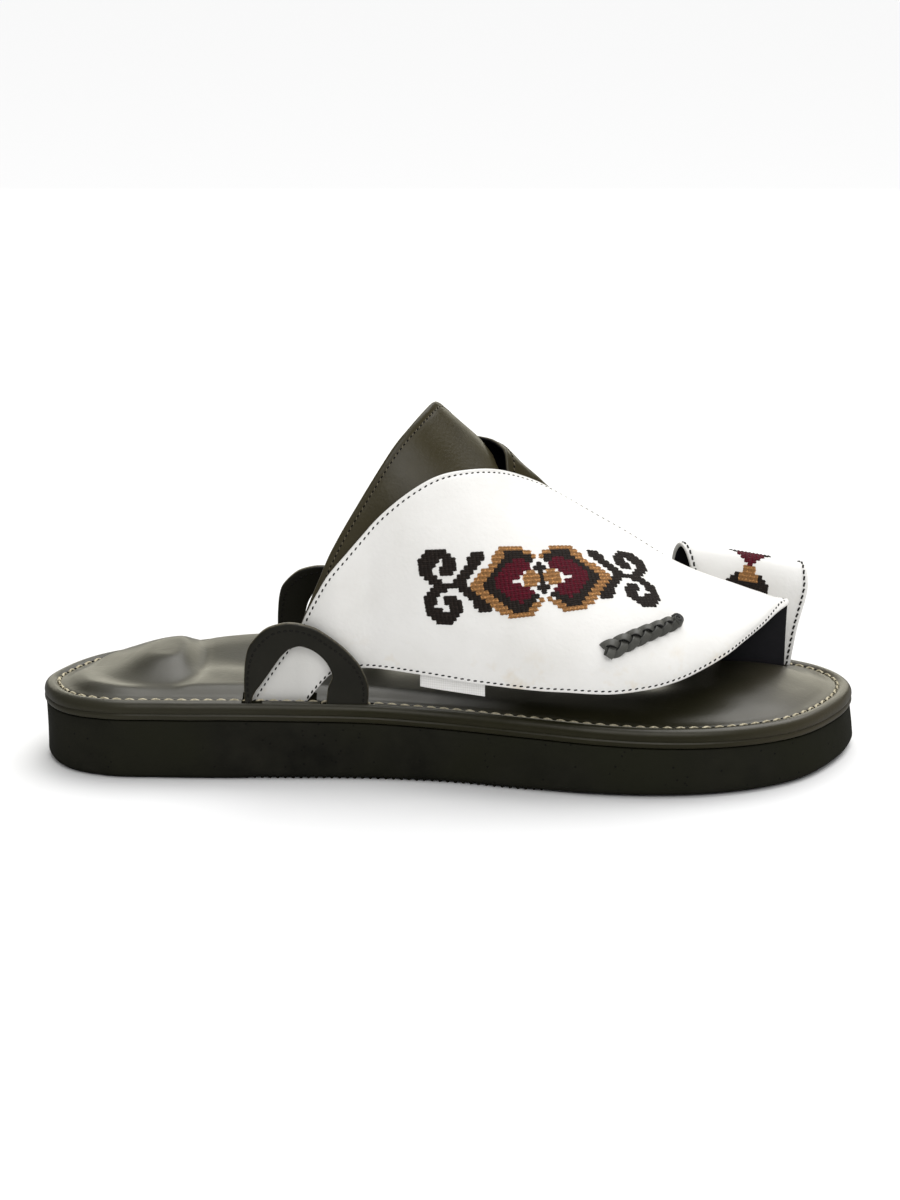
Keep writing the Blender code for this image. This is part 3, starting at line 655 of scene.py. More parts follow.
# The leather is browner at the toe and paler under the heel, and the roll's side has less gloss.
spot = add_node(tree, "ShaderNodeSeparateXYZ", {0: place}).outputs
browner = remap(tree, spot[0], 0.085, 0.135)
worn = blend_colours(tree, combine(tree, "MULTIPLY", browner, 0.8), worn, (0.052, 0.045, 0.029))
paler = remap(tree, spot[0], -0.03, -0.075)
worn = blend_colours(tree, combine(tree, "MULTIPLY", paler, 0.5), worn, (0.036, 0.034, 0.024))
upright = add_node(tree, "ShaderNodeSeparateXYZ", {
    0: add_node(tree, "ShaderNodeNewGeometry").outputs["Normal"]}).outputs[2]
tree.links.new(remap(tree, upright, 0.30, 0.85, 0.0, 0.48), shader.inputs["Coat Weight"])
finish_leather(tree, shader, worn, skin, 0.30, 0.42, 0.55, 0.00012)

# The roll's section, from the padded top over the crest to the joint with the rubber.
ROLL = table("inset drop", [
    (10.5, 0.32), (9.2, 0.36), (8.0, 0.42), (7.1, 0.5), (6.4, 0.62), (5.9, 0.82), (5.5, 1.0),
    (5.1, 1.0), (4.7, 0.78), (4.3, 0.46), (3.8, 0.17), (3.3, 0.02), (2.8, 0.0), (2.3, 0.08),
    (1.8, 0.27), (1.35, 0.55), (0.95, 0.92), (0.62, 1.38), (0.36, 1.9), (0.18, 2.45),
    (0.09, 3.0), (0.08, 3.5), (0.17, 3.9), (0.38, 4.2), (0.5, 4.35), (0.42, 4.5), (0.2, 4.68),
    (0.08, 4.95), (0.03, 5.4), (0.04, 5.9), (0.2, 6.25), (0.5, 6.45), (1.0, 6.6),
])
rings = []
for inset, drop in zip(ROLL["inset"], ROLL["drop"]):
    ring = ring_at(inset, lambda x, y, drop=drop: rim_height(x, y) - drop)
    blend = ramp(inset, 5.8 * MM, 4.7 * MM)
    if blend > 0:
        padded = ring_at(inset, footbed_top)
        ring[:, 2] += (padded[:, 2] - ring[:, 2]) * blend
    rings.append(ring)
footbed = slab("footbed_leather", rings, footbed_top, lambda x, y: sole_top(x, y) + GAP, wrap)


def slit_boxes():
    """Along, across and depth of each slit that a strap end enters."""
    strap, ear, depth = (24.4, 28.55), (29.7, 32.1), 23.9
    boxes = [((98.6, 121.5), (11.3, 15.45), 24.1)]
    for side, rear, foot, leg, strap_start in ((-1, -71.0, 23.9, 4.8, 0.0),
                                               (1, -64.5, 28.9, 11.4, 9.0)):
        for start, end, span in ((0.0, leg, ear), (27.0, 43.7, ear), (strap_start, 23.4, strap)):
            across = sorted((side * span[0], side * span[1]))
            boxes.append(((rear + start, rear + end), across, foot))
    boxes.append(((92.0, 125.0), (17.2, 19.4), depth))
    boxes.append(((81.0, 114.5), (33.3, 35.5), depth))
    return boxes


cutter_points, cutter_faces = [], []
for along, across, low in slit_boxes():
    x_ends = (along[0] * MM - SLIT_END_ROOM, along[1] * MM + SLIT_END_ROOM)
    y_ends = (across[0] * MM - SLIT_CLEARANCE, across[1] * MM + SLIT_CLEARANCE)
    first = len(cutter_points)
    cutter_points += [(x, y, z) for z in (low * MM, SLIT_TOP) for y in y_ends for x in x_ends]
    cutter_faces += [tuple(first + k for k in face) for face in
                     ((0, 2, 3, 1), (4, 5, 7, 6), (0, 1, 5, 4), (2, 6, 7, 3), (0, 4, 6, 2),
                      (1, 3, 7, 5))]
cutter = add_mesh("slit_cutter", cutter_points, cutter_faces, [wrap])
cut = footbed.modifiers.new("slits", "BOOLEAN")
cut.solver = "EXACT"
cut.object = cutter
graph = bpy.context.evaluated_depsgraph_get()
footbed.data = bpy.data.meshes.new_from_object(footbed.evaluated_get(graph), depsgraph=graph)
footbed.modifiers.clear()
bpy.data.objects.remove(cutter)
footbed.data.set_sharp_from_angle(angle=math.radians(50))
settle(footbed, "root", ("footbed",))

gold_thread, tree, shader = new_finish("gold_thread", Roughness=0.55)
place = add_node(tree, "ShaderNodeTexCoord").outputs["Object"]
lay = add_node(tree, "ShaderNodeTexNoise", {"Vector": place, "Scale": 900.0, "Detail": 2.0})
tree.links.new(blend_colours(tree, remap(tree, lay.outputs[0], 0.35, 0.65), (0.30, 0.26, 0.165),
                             (0.60, 0.54, 0.38)), shader.inputs["Base Color"])
emboss(tree, shader, lay.outputs[0], 0.5, 0.0001)


def stored(tree, name, kind="FLOAT_VECTOR"):
    """The values of this name that grow() keeps on the wire's points."""
    return add_node(tree, "GeometryNodeInputNamedAttribute", {"Name": name},
                    data_type=kind).outputs[0]


stitch_tree, given = new_tree("stitch_row", [
    ("Pitch", "Float"), ("Length", "Float"), ("Thread radius", "Float"), ("Arch", "Float"),
    ("Splay", "Float"), ("Slant", "Float"), ("Finish", "Material"),
])
half_long = combine(stitch_tree, "MULTIPLY", given["Length"], 0.5)
half_back = combine(stitch_tree, "MULTIPLY", half_long, -1.0)
splay_back = combine(stitch_tree, "MULTIPLY", given["Splay"], -1.0)
sunk = combine(stitch_tree, "MULTIPLY", given["Thread radius"], -1.1)
section = add_node(stitch_tree, "GeometryNodeCurvePrimitiveCircle", {
    "Resolution": 6, "Radius": given["Thread radius"],
})
strands = add_node(stitch_tree, "GeometryNodeJoinGeometry")
for low_side, high_side, lift in ((given["Splay"], splay_back, 1.25),
                                  (splay_back, given["Splay"], 1.0)):
    crest = combine(stitch_tree, "MULTIPLY", given["Arch"], lift)
    ends = [add_node(stitch_tree, "ShaderNodeCombineXYZ", {0: x, 1: y, 2: z}).outputs[0]
            for x, y, z in ((half_back, low_side, sunk), (0.0, 0.0, crest),
                            (half_long, high_side, sunk))]
    bow = add_node(stitch_tree, "GeometryNodeCurveQuadraticBezier", {
        "Resolution": 5, "Start": ends[0], "Middle": ends[1], "End": ends[2],
    })
    strand = add_node(stitch_tree, "GeometryNodeCurveToMesh", {
        0: bow.outputs[0], 1: section.outputs[0], "Fill Caps": True,
    })
    stitch_tree.links.new(strand.outputs[0], strands.inputs[0])
path = add_node(stitch_tree, "GeometryNodeMeshToCurve", {0: given[0]})
spread = add_node(stitch_tree, "GeometryNodeResampleCurve", {
    0: path.outputs[0], "Length": given["Pitch"],
}, mode="LENGTH")
tangent = add_node(stitch_tree, "GeometryNodeInputTangent").outputs[0]
along_path = add_node(stitch_tree, "FunctionNodeAlignRotationToVector", {"Vector": tangent},
                      axis="X").outputs[0]
upright = add_node(stitch_tree, "FunctionNodeAlignRotationToVector", {
    "Rotation": along_path, "Vector": stored(stitch_tree, "upward")}, axis="Z",
    pivot_axis="X").outputs[0]
turned = add_node(stitch_tree, "FunctionNodeRotateRotation", {
    "Rotation": upright,
    "Rotate By": add_node(stitch_tree, "FunctionNodeAxisAngleToRotation", {
        "Axis": (0.0, 0.0, 1.0), "Angle": given["Slant"]}).outputs[0],
}, rotation_space="LOCAL").outputs[0]
row = add_node(stitch_tree, "GeometryNodeInstanceOnPoints", {
    "Points": spread.outputs[0], "Instance": strands.outputs[0], "Rotation": turned,
})
end_tree(stitch_tree, row.outputs[0], given["Finish"])


def sew(name, rows, upwards, finish, slot, pitch, length, radius, arch, splay=0.0, slant=0.0):
    """One row or more of stitches along paths, standing on the surface by its normals."""
    grow(name, stitch_tree, rows, {
        "Pitch": pitch * MM, "Length": length * MM, "Thread radius": radius * MM,
        "Arch": arch * MM, "Splay": splay * MM, "Slant": slant, "Finish": finish,
    }, marks={"upward": np.concatenate(upwards)})


def between(paths, upwards, pitch):
    """The same rows cut short by half a stitch at each end, for the painted shade of the holes
    between the stitches.
    """
    cut_paths, cut_upwards = [], []
    for path, upward in zip(paths, upwards):
        run = run_along(path)
        half = run[-1] / int(run[-1] / (pitch * MM)) / 2
        inner = np.linspace(half, run[-1] - half, 2 * len(path))
        cut_paths.append(np.stack([np.interp(inner, run, path[:, k]) for k in range(3)], 1))
        cut_upwards.append(np.stack([np.interp(inner, run, upward[:, k]) for k in range(3)], 1))
    return cut_paths, cut_upwards


def mottled(name, scale, dark, light, **values):
    """A finish in two tones that change along a thread or over a hole's painted shade."""
    made, tree, shader = new_finish(name, **values)
    place = add_node(tree, "ShaderNodeTexCoord").outputs["Object"]
    lay = add_node(tree, "ShaderNodeTexNoise", {"Vector": place, "Scale": scale})
    tree.links.new(blend_colours(tree, lay.outputs[0], dark, light), shader.inputs["Base Color"])
    return made


# Near-black marks sunk at the needle holes: painted shade of the holes, not a thread of the
# sandal.
hole_shade = mottled("needle_hole_shade", 1500.0, (0.003, 0.003, 0.002), (0.010, 0.009, 0.007),
                     Roughness=0.9, Specular_IOR_Level=0.1)

seam = ring_at(SEAM_INSET, lambda x, y: rim_height(x, y) - SEAM_DROP)
seam = np.concatenate([seam, seam[:1]])
seam_up = np.tile((0.0, 0.0, 1.0), (len(seam), 1))
sew("footbed_stitches", [seam], [seam_up], gold_thread, "footbed_leather",
    pitch=FOOT_SEAM_PITCH, length=3.5, radius=0.31, arch=0.9, splay=0.3, slant=0.1)
# Black marks between the stitches: painted shade of the needle holes.
sew("footbed_hole_shade", *between([seam], [seam_up], FOOT_SEAM_PITCH), hole_shade,
    "footbed_leather", pitch=FOOT_SEAM_PITCH, length=1.5, radius=0.42, arch=0.25)


# ---- the two wings -----------------------------------------------------------------------------
# The real upper is two lined olive leather wings. The outer one rises from its slit to a tall
# point over the instep, and the inner one arches over it at the ridge and is sewn under the panel.

FRONT_X = 121.5 * MM
BELLY_RISE = 0.45
LEAST_LEVEL = 0.2 * MM
# The upper's outer free edge, from the rear slit to the tip between the toes.
OUTER_EDGE = table("x y z", [
    (-71.0, -26.6, 24.3), (-52.0, -26.6, 24.3), (-50.0, -26.6, 27.0), (-45.8, -26.6, 32.3),
    (-41.2, -26.6, 37.2), (-36.0, -26.7, 38.9), (-29.0, -26.9, 39.6), (-20.0, -30.0, 39.9),
    (-12.0, -33.2, 39.7), (11.0, -40.6, 38.4), (36.0, -46.5, 37.8), (52.0, -46.9, 37.0),
    (67.0, -44.5, 38.0), (76.0, -40.5, 39.2), (86.0, -34.0, 41.7), (95.0, -27.0, 44.6),
    (101.0, -19.5, 46.5), (108.0, -8.5, 47.9), (114.5, 0.6, 50.1), (121.5, 8.4, 52.0),
])
# The upper's inner free edge, from the rear slit to the slit between the toes.
INNER_EDGE = table("x y z", [
    (-71.0, 26.6, 29.3), (-42.5, 26.6, 29.3), (-40.0, 26.6, 36.0), (-32.0, 26.7, 42.5),
    (-22.5, 27.1, 46.5), (-14.0, 29.8, 49.0), (-6.0, 32.2, 51.0), (13.0, 35.6, 55.5),
    (30.0, 35.5, 59.5), (50.0, 32.0, 62.0), (66.0, 27.0, 61.0), (78.0, 21.5, 56.0),
    (88.0, 16.6, 48.0), (95.0, 14.2, 39.0), (99.0, 13.6, 29.0), (100.0, 13.5, 24.5),
    (121.5, 13.5, 24.5),
])
# The ridge of the tunnel, how far each side stays level there, and how far it bellies at its foot.
RIDGE = table("x y z outer_level inner_level outer_belly inner_belly", [
    (-71.0, 8.0, 190.0, 10.0, 10.0, 2.0, 2.0), (-30.0, 8.0, 151.0, 11.0, 11.0, 2.0, 2.0),
    (-5.0, 8.0, 126.8, 12.0, 12.0, 3.5, 2.0), (4.0, 8.6, 118.3, 13.2, 12.6, 3.8, 2.0),
    (10.0, 9.0, 112.9, 14.0, 13.0, 4.0, 2.0), (20.0, 9.2, 103.4, 16.0, 13.0, 4.0, 2.0),
    (30.0, 9.5, 95.5, 18.0, 13.0, 4.0, 2.0), (43.0, 10.0, 87.3, 21.0, 12.0, 4.0, 2.0),
    (60.0, 10.3, 76.8, 22.0, 10.0, 4.0, 1.5), (79.0, 10.2, 65.6, 19.0, 6.0, 3.0, 0.6),
    (86.0, 10.1, 62.4, 17.0, 4.0, 2.0, 0.3), (99.0, 10.0, 58.0, 11.0, 2.7, 1.0, 0.0),
    (115.0, 10.0, 53.0, 5.0, 2.6, 0.5, 0.0), (121.5, 10.0, 52.4, 1.2, 2.6, 0.2, 0.0),
])
# Rear edges, as x against the turn: 0 at the outer free edge, 1 on the ridge, 2 at the inner edge.
OUTER_WING_REAR = table("turn x", [
    (0.0, -71.0), (0.085, -59.4), (0.148, -51.4), (0.2, -45.5), (0.25, -40.7), (0.29, -37.3),
    (0.34, -33.3), (0.4, -29.0), (0.465, -25.0), (0.5, -22.9), (0.545, -20.4), (0.595, -17.7),
    (0.645, -15.0), (0.71, -12.0), (0.78, -9.3), (0.85, -7.2), (0.93, -5.5), (1.0, -4.3),
    (1.05, -3.2), (1.15, 1.5), (1.35, 13.0), (1.6, 30.0), (2.0, 50.0),
], 1)
INNER_WING_REAR = table("turn x", [
    (0.0, 66.0), (0.4, 55.0), (0.6, 36.0), (0.72, 27.5), (0.8, 23.2), (0.85, 21.0), (0.9, 18.9),
    (0.97, 16.3), (1.03, 14.0), (1.1, 11.0), (1.2, 7.5), (1.3, 2.5), (1.44, -8.0), (1.58, -18.5),
    (1.7, -28.5), (1.81, -39.5), (1.86, -46.5), (1.9, -50.5), (1.94, -53.0), (2.0, -54.5),
], 1)
PANEL_REAR = table("turn x", [
    (0.0, -71.0), (0.02, -68.7), (0.095, -58.4), (0.14, -52.6), (0.175, -46.6), (0.215, -39.8),
    (0.305, -29.5), (0.405, -19.7), (0.485, -12.3), (0.575, -4.2), (0.65, 3.1), (0.73, 10.6),
    (0.84, 18.8), (0.93, 25.6), (1.0, 31.2), (1.06, 37.0), (1.11, 43.5), (1.14, 51.5),
    (1.165, 60.0), (1.19, 68.0), (1.25, 76.5), (1.45, 88.0), (1.8, 96.5), (2.0, 100.0),
], 1)
# A sheet's rear edge is evened out over this much of the turn, and less near its ends.
EDGE_EVENING = 0.035
EDGE_EVENING_FADE = 0.12
BASE_OUTSIDE = -0.05 * MM
BASE_INSIDE = -2.15 * MM
INNER_WING_ROOM = 1.15 * MM
INNER_WING_OUTSIDE = 0.10 * MM
INNER_WING_INSIDE = -1.02 * MM
# How far the inner wing stands off the outer one at the ridge.
ARCH = table("x height", [
    (6.0, 0.0), (10.0, 0.8), (14.0, 2.9), (18.0, 3.9), (24.0, 3.2), (29.0, 2.8), (34.0, 1.8),
    (40.0, 0.9), (47.0, 0.0),
])
# How far the outer wing dives under the arched inner wing.
DIVE = 6.5 * MM
WING_SEAM_LINE = 9
WING_SEAM_FURROW = 2.3 * MM
FURROW_WIDTH = 0.5 * MM
WING_SEAM_PITCH = 1.95
TURN_STEPS = 121
DOWN_STEPS = 61
LEAST_SINE = 0.25
RIM_SPLITS = 8
# Grid lines lie this far in from each cut edge, and evenly between.
EDGE_STEPS = np.array((0.0, 0.05, 0.16, 0.34, 0.58, 0.85, 1.15, 1.5, 1.85, 2.3, 3.0, 4.2)) * MM


def bend(start, leave, arrive, end, t):
    """A cubic bend from start to end."""
    t = t[..., None]
    near = start * (1 - t) ** 3 + 3 * leave * t * (1 - t) ** 2
    return near + 3 * arrive * t**2 * (1 - t) + end * t**3


def tunnel(x, turn):
    """Places on the upper's outer surface, as sections across the foot."""
    x, turn = np.broadcast_arrays(np.asarray(x, float), np.asarray(turn, float))
    outer = np.stack([at(OUTER_EDGE, "y", x), at(OUTER_EDGE, "z", x)], -1)
    inner = np.stack([at(INNER_EDGE, "y", x), at(INNER_EDGE, "z", x)], -1)
    ridge = np.stack([at(RIDGE, "y", x), at(RIDGE, "z", x)], -1)
    outer_rise = (ridge - outer)[..., 1] * BELLY_RISE
    inner_rise = (ridge - inner)[..., 1] * BELLY_RISE
    flat = np.zeros_like(x)
    outer_level = np.maximum(at(RIDGE, "outer_level", x), LEAST_LEVEL)
    inner_level = np.maximum(at(RIDGE, "inner_level", x), LEAST_LEVEL)
    leave = outer + np.stack([-at(RIDGE, "outer_belly", x), outer_rise], -1)
    arrive = ridge - np.stack([outer_level, flat], -1)
    outer_half = bend(outer, leave, arrive, ridge, np.clip(turn, 0, 1))
    leave = ridge + np.stack([inner_level, flat], -1)
    arrive = inner + np.stack([at(RIDGE, "inner_belly", x), inner_rise], -1)
    inner_half = bend(ridge, leave, arrive, inner, np.clip(turn - 1, 0, 1))
    section = np.where((turn <= 1)[..., None], outer_half, inner_half)
    return np.concatenate([x[..., None], section], -1)


def facing(skin, x, turn):
    """The outward normal of a skin, from small steps along and round it."""
    step, step_round = 0.6 * MM, 0.012
    along = skin(x + step, turn) - skin(x - step, turn)
    low, high = np.maximum(turn - step_round, 0.0), np.minimum(turn + step_round, 2.0)
    return unit(np.cross(along, skin(x, high) - skin(x, low)))


def lifted(x, turn, lift):
    """Places at a height above the upper's outer surface."""
    x, turn = np.broadcast_arrays(np.asarray(x, float), np.asarray(turn, float))
    return tunnel(x, turn) + facing(tunnel, x, turn) * np.asarray(lift)[..., None]


def stations(length, count, low_steps=EDGE_STEPS, high_steps=EDGE_STEPS):
    """Fractions 0 to 1 along each length, one row each, at metric steps by both ends."""
    length = np.reshape(length, (-1, 1))
    start = low_steps[None, :] / length
    end = 1 - high_steps[::-1][None, :] / length
    part = np.linspace(0, 1, count + 2)[None, 1:-1]
    middle = start[:, -1:] + (end[:, :1] - start[:, -1:]) * part
    return np.concatenate([start, middle, end], 1)


def wing_rear(rear, turn):
    """The rear edge of a sheet, evened out over a little of the turn except at its ends."""
    turn = np.asarray(turn, float)
    reach = EDGE_EVENING * np.clip(np.minimum(turn, 2 - turn) / EDGE_EVENING_FADE, 0, 1)
    spots = [turn + reach * share for share in np.linspace(-1, 1, 9)]
    return sum(through(rear["turn"], rear["x"], spot) for spot in spots) / len(spots) * MM


def wing_layout(rear, low_turn, high_turn, rows, columns):
    """x and turn of each grid place, with lines that run parallel to the four cut edges."""
    turns = np.linspace(low_turn, high_turn, TURN_STEPS)
    parts = np.linspace(0, 1, DOWN_STEPS)[:, None]
    starts = wing_rear(rear, turns)[None, :]
    coarse = tunnel(starts + (FRONT_X - starts) * parts, turns)
    down = np.linalg.norm(np.diff(coarse, axis=0), axis=2).sum(0)
    edge = np.gradient(coarse[0], axis=0)
    start = coarse[1] - coarse[0]
    sine = np.linalg.norm(np.cross(edge, start), axis=1) / (
        np.linalg.norm(edge, axis=1) * np.linalg.norm(start, axis=1))
    sine = np.maximum(sine, LEAST_SINE)
    sine = np.convolve(np.pad(sine, 3, mode="edge"), np.ones(7) / 7, mode="valid")
    fractions = stations(down, rows)
    for j in range(len(turns)):
        steps = EDGE_STEPS / (down[j] * sine[j])
        rest = np.linspace(0, 1, rows + 2)[1:-1]
        fractions[j, :len(steps)] = steps
        high = fractions[j, -len(steps)]
        fractions[j, len(steps):-len(steps)] = steps[-1] + (high - steps[-1]) * rest
    count = fractions.shape[1]

    def row_x(i, turn):
        part = np.interp(turn, turns, fractions[:, i])
        return wing_rear(rear, turn) + (FRONT_X - wing_rear(rear, turn)) * part

    x, turn = [], []
    for i in range(count):
        line = tunnel(row_x(i, turns), turns)
        run = run_along(line)
        spread = np.interp(stations(run[-1], columns)[0] * run[-1], run, turns)
        turn.append(spread)
        x.append(row_x(i, spread))
    return np.array(x), np.array(turn)


def sheet(name, outside, inside, finishes, wrap_width=0.0, squareness=2.0, dents=None):
    """A closed sheet between two grids of places, with rounded rims.

    The two faces close in on their middle near the rim. Its "rim" attribute is the distance to the
    nearest cut edge in millimetres. Faces of the inner side further in than the wrap width take
    the second finish. Gives back the piece and the grid of its outer face.
    """
    rows, columns = outside.shape[:2]
    middle = (outside + inside) / 2
    edge = np.concatenate([middle[0], middle[1:, -1], middle[-1, -2::-1], middle[-2:0:-1, 0]])
    nearby = kdtree.KDTree(len(edge) * RIM_SPLITS)
    ahead_of = np.roll(edge, -1, axis=0)
    for k in range(RIM_SPLITS):
        for i, spot in enumerate(edge + (ahead_of - edge) * k / RIM_SPLITS):
            nearby.insert(spot, i)
    nearby.balance()
    away = np.array([nearby.find(spot)[2] for spot in middle.reshape(-1, 3)])
    away = away.reshape(rows, columns)
    half = np.linalg.norm(outside - inside, axis=2) / 2
    reach = np.clip(away / np.maximum(half, 1e-6), 0, 1)
    swell = (1 - (1 - reach) ** squareness) ** (1 / squareness)
    swell[0] = swell[-1] = swell[:, 0] = swell[:, -1] = 0.0
    up = middle + (outside - middle) * swell[..., None]
    down = middle + (inside - middle) * swell[..., None]
    if dents is not None:
        depth = dents(away)
        lean = (outside - middle) / np.maximum(half, 1e-6)[..., None]
        up -= lean * (depth * ramp(away, 0.0, 0.5 * MM))[..., None]
    numbers = np.arange(rows * columns).reshape(rows, columns)
    points = list(up.reshape(-1, 3))
    under = numbers.copy()
    inner = np.zeros((rows, columns), bool)
    inner[1:-1, 1:-1] = True
    under[inner] = len(points) + np.arange(inner.sum())
    points += list(down[inner])
    faces, coats = [], []
    for i in range(rows - 1):
        for j in range(columns - 1):
            cell = ((i, j), (i, j + 1), (i + 1, j + 1), (i + 1, j))
            faces.append(tuple(int(numbers[c]) for c in cell))
            coats.append(0)
            faces.append(tuple(int(under[c]) for c in reversed(cell)))
            coats.append(int(len(finishes) > 1 and away[i:i + 2, j:j + 2].mean() > wrap_width))
    made = add_mesh(name, points, faces, finishes)
    made.data.polygons.foreach_set("material_index", coats)
    rim = np.concatenate([away.ravel(), away[inner]]) / MM
    field = made.data.attributes.new("rim", "FLOAT", "POINT")
    field.data.foreach_set("value", rim)
    face_outwards(made.data)
    return made, up


def seam_rows(up, rim_lines):
    """Paths along grid lines of a sheet's outer face, and the surface's normals on them."""
    across = np.gradient(up, axis=0)
    along = np.gradient(up, axis=1)
    normal = unit(np.cross(across, along))
    return [up[line] for line in rim_lines], [normal[line] for line in rim_lines]


def groove(depth, line=1.5 * MM):
    """The furrow that a pulled seam leaves beside a cut edge."""
    return lambda away: depth * np.exp(-(((away - line) / FURROW_WIDTH) ** 2))


olive, tree, shader = new_finish("olive_leather", Specular_IOR_Level=0.3)
place, skin = leather_grain(tree, 1000.0, 30.0)
olive_tone = blend_colours(tree, skin["Tone"], (0.0270, 0.0218, 0.0090), (0.0420, 0.0345, 0.0150))
rim = add_node(tree, "ShaderNodeAttribute", attribute_name="rim").outputs["Fac"]
edge_wear = remap(tree, rim, 0.0, 0.5, 1.0, 0.0)
olive_tone = blend_colours(tree, combine(tree, "MULTIPLY", edge_wear, 0.55), olive_tone,
                           (0.085, 0.076, 0.050))
finish_leather(tree, shader, olive_tone, skin, 0.30, 0.43, 0.55, 0.00014)

lining, tree, shader = new_finish("black_lining", Specular_IOR_Level=0.25)
place, skin = leather_grain(tree, 800.0, 45.0)
black = blend_colours(tree, skin["Tone"], (0.006, 0.006, 0.0075), (0.013, 0.0125, 0.016))
finish_leather(tree, shader, black, skin, 0.46, 0.6, 0.5, 0.00015)

tan_thread = mottled("tan_thread", 1400.0, (0.045, 0.036, 0.018), (0.15, 0.125, 0.075),
                     Roughness=0.55)


def arch_lift(x, turn):
    """How far the inner wing stands off the outer one along its rear edge, near the ridge."""
    behind_panel = ramp(x, wing_rear(PANEL_REAR, turn) + 3 * MM, -8 * MM)
    ends = ramp(turn, 0.84, 0.13) * ramp(turn, 1.42, -0.27)
    return at(ARCH, "height", x) * behind_panel * ends


def dive(x, turn):
    """How far the outer wing's ridge sinks where it runs in under the inner wing."""
    starts = ramp(x, 15.6 * MM, 6 * MM) * ramp(x, 44 * MM, -18 * MM)
    return DIVE * starts * ramp(turn, 0.8, 0.17) * ramp(turn, 1.4, -0.22)


x, turn = wing_layout(OUTER_WING_REAR, 0.0, 2.0, 84, 96)
tucked = ramp(x, wing_rear(INNER_WING_REAR, turn) - 5 * MM, 7 * MM)
sinking = dive(x, turn)
outside = lifted(x, turn, BASE_OUTSIDE - INNER_WING_ROOM * tucked - sinking)
base_wing, base_up = sheet("outer_wing", outside, lifted(x, turn, BASE_INSIDE - sinking),
                           [olive, lining], 0.0, 2.6, groove(0.16 * MM, line=WING_SEAM_FURROW))
settle(base_wing, "root", ("upper",))

x, turn = wing_layout(INNER_WING_REAR, 0.30, 2.0, 84, 96)
raised = arch_lift(x, turn)
inner_wing, inner_up = sheet("inner_wing", lifted(x, turn, INNER_WING_OUTSIDE + raised),
                             lifted(x, turn, INNER_WING_INSIDE + raised), [olive, lining], 0.0,
                             2.6, groove(0.14 * MM, line=WING_SEAM_FURROW))
settle(inner_wing, "root")

seam_span = slice(WING_SEAM_LINE, -WING_SEAM_LINE)
rear_seam = (WING_SEAM_LINE, seam_span)
outer_seam, inner_seam = (seam_span, WING_SEAM_LINE), (seam_span, -WING_SEAM_LINE - 1)
base_paths, base_normals = seam_rows(base_up, [rear_seam, outer_seam, inner_seam])
inner_paths, inner_normals = seam_rows(inner_up, [rear_seam, inner_seam])
wing_paths, wing_normals = base_paths + inner_paths, base_normals + inner_normals
sew("wing_stitches", wing_paths, wing_normals, tan_thread, "olive_leather",
    pitch=WING_SEAM_PITCH, length=1.3, radius=0.19, arch=0.26, slant=0.35)
# Black marks between the stitches: painted shade of the needle holes.
sew("wing_hole_shade", *between(wing_paths, wing_normals, WING_SEAM_PITCH), hole_shade,
    "olive_leather", pitch=WING_SEAM_PITCH, length=1.0, radius=0.36, arch=0.1)


# ---- white panel -------------------------------------------------------------------------------
# The real panel is thick white leather turned over at its edge, lined in black and sewn down over
# the outer wing with one row of black stitches close to the edge.

PANEL_OUTSIDE = 1.9 * MM
PANEL_INSIDE = 0.3 * MM
# The panel thins towards its tip, by this share of its height.
TIP_START_X = 110.0 * MM
TIP_REACH = 11.0 * MM
TIP_THINNING = 0.6
WHITE_WRAP = 0.9 * MM
SEAM_LINE = 7
PANEL_SEAM = {"pitch": 2.3, "length": 1.3, "radius": 0.35, "arch": 0.16, "slant": 0.2}
STRAP_START_X = -42.0 * MM

dark_thread = mottled("dark_thread", 1400.0, (0.004, 0.004, 0.004), (0.016, 0.015, 0.012),
                      Roughness=0.6, Specular_IOR_Level=0.25)

white, tree, shader = new_finish("white_leather", Specular_IOR_Level=0.42, Coat_Weight=0.06,
                                 Coat_Roughness=0.35)
place, skin = leather_grain(tree, 760.0, 24.0)
white_tone = blend_colours(tree, skin["Tone"], (0.735, 0.722, 0.69), (0.80, 0.79, 0.765))
spot = add_node(tree, "ShaderNodeSeparateXYZ", {0: place}).outputs
stains = add_node(tree, "ShaderNodeTexNoise", {"Vector": place, "Scale": 48.0, "Detail": 4.0,
                                               "Roughness": 0.7})
stain_mask = combine(tree, "MULTIPLY", remap(tree, stains.outputs[0], 0.55, 0.72),
                     remap(tree, spot[2], 0.054, 0.040))
white_tone = blend_colours(tree, combine(tree, "MULTIPLY", stain_mask, 0.6), white_tone,
                           (0.62, 0.50, 0.31))
rim = add_node(tree, "ShaderNodeAttribute", attribute_name="rim").outputs["Fac"]
grime = combine(tree, "MULTIPLY", remap(tree, rim, 0.0, 0.4, 0.35, 0.0), skin["Polish"])
white_tone = blend_colours(tree, grime, white_tone, (0.40, 0.36, 0.29))
# The strap is painted grey towards its rear end: painted shade where it runs into the ear and the
# footbed.
strap_painted_shade = combine(tree, "MULTIPLY", remap(tree, spot[0], -0.038, -0.052), 0.55)
white_tone = blend_colours(tree, strap_painted_shade, white_tone, (0.46, 0.455, 0.43))
finish_leather(tree, shader, white_tone, skin, 0.44, 0.56, 0.6, 0.00022)


def panel_wave(x, turn):
    """The faint waves of leather that is pulled over a last."""
    wave = np.sin(x * 95.0 + turn * 7.0) * np.sin(turn * 11.0 + x * 23.0)
    return 0.16 * MM * wave + 0.07 * MM * np.sin(x * 230.0 - turn * 17.0)


def panel_skin(x, turn):
    """Places on the panel's outer face."""
    thinner = 1 - TIP_THINNING * ramp(x, TIP_START_X, TIP_REACH)
    return lifted(x, turn, PANEL_OUTSIDE * thinner + panel_wave(x, turn))


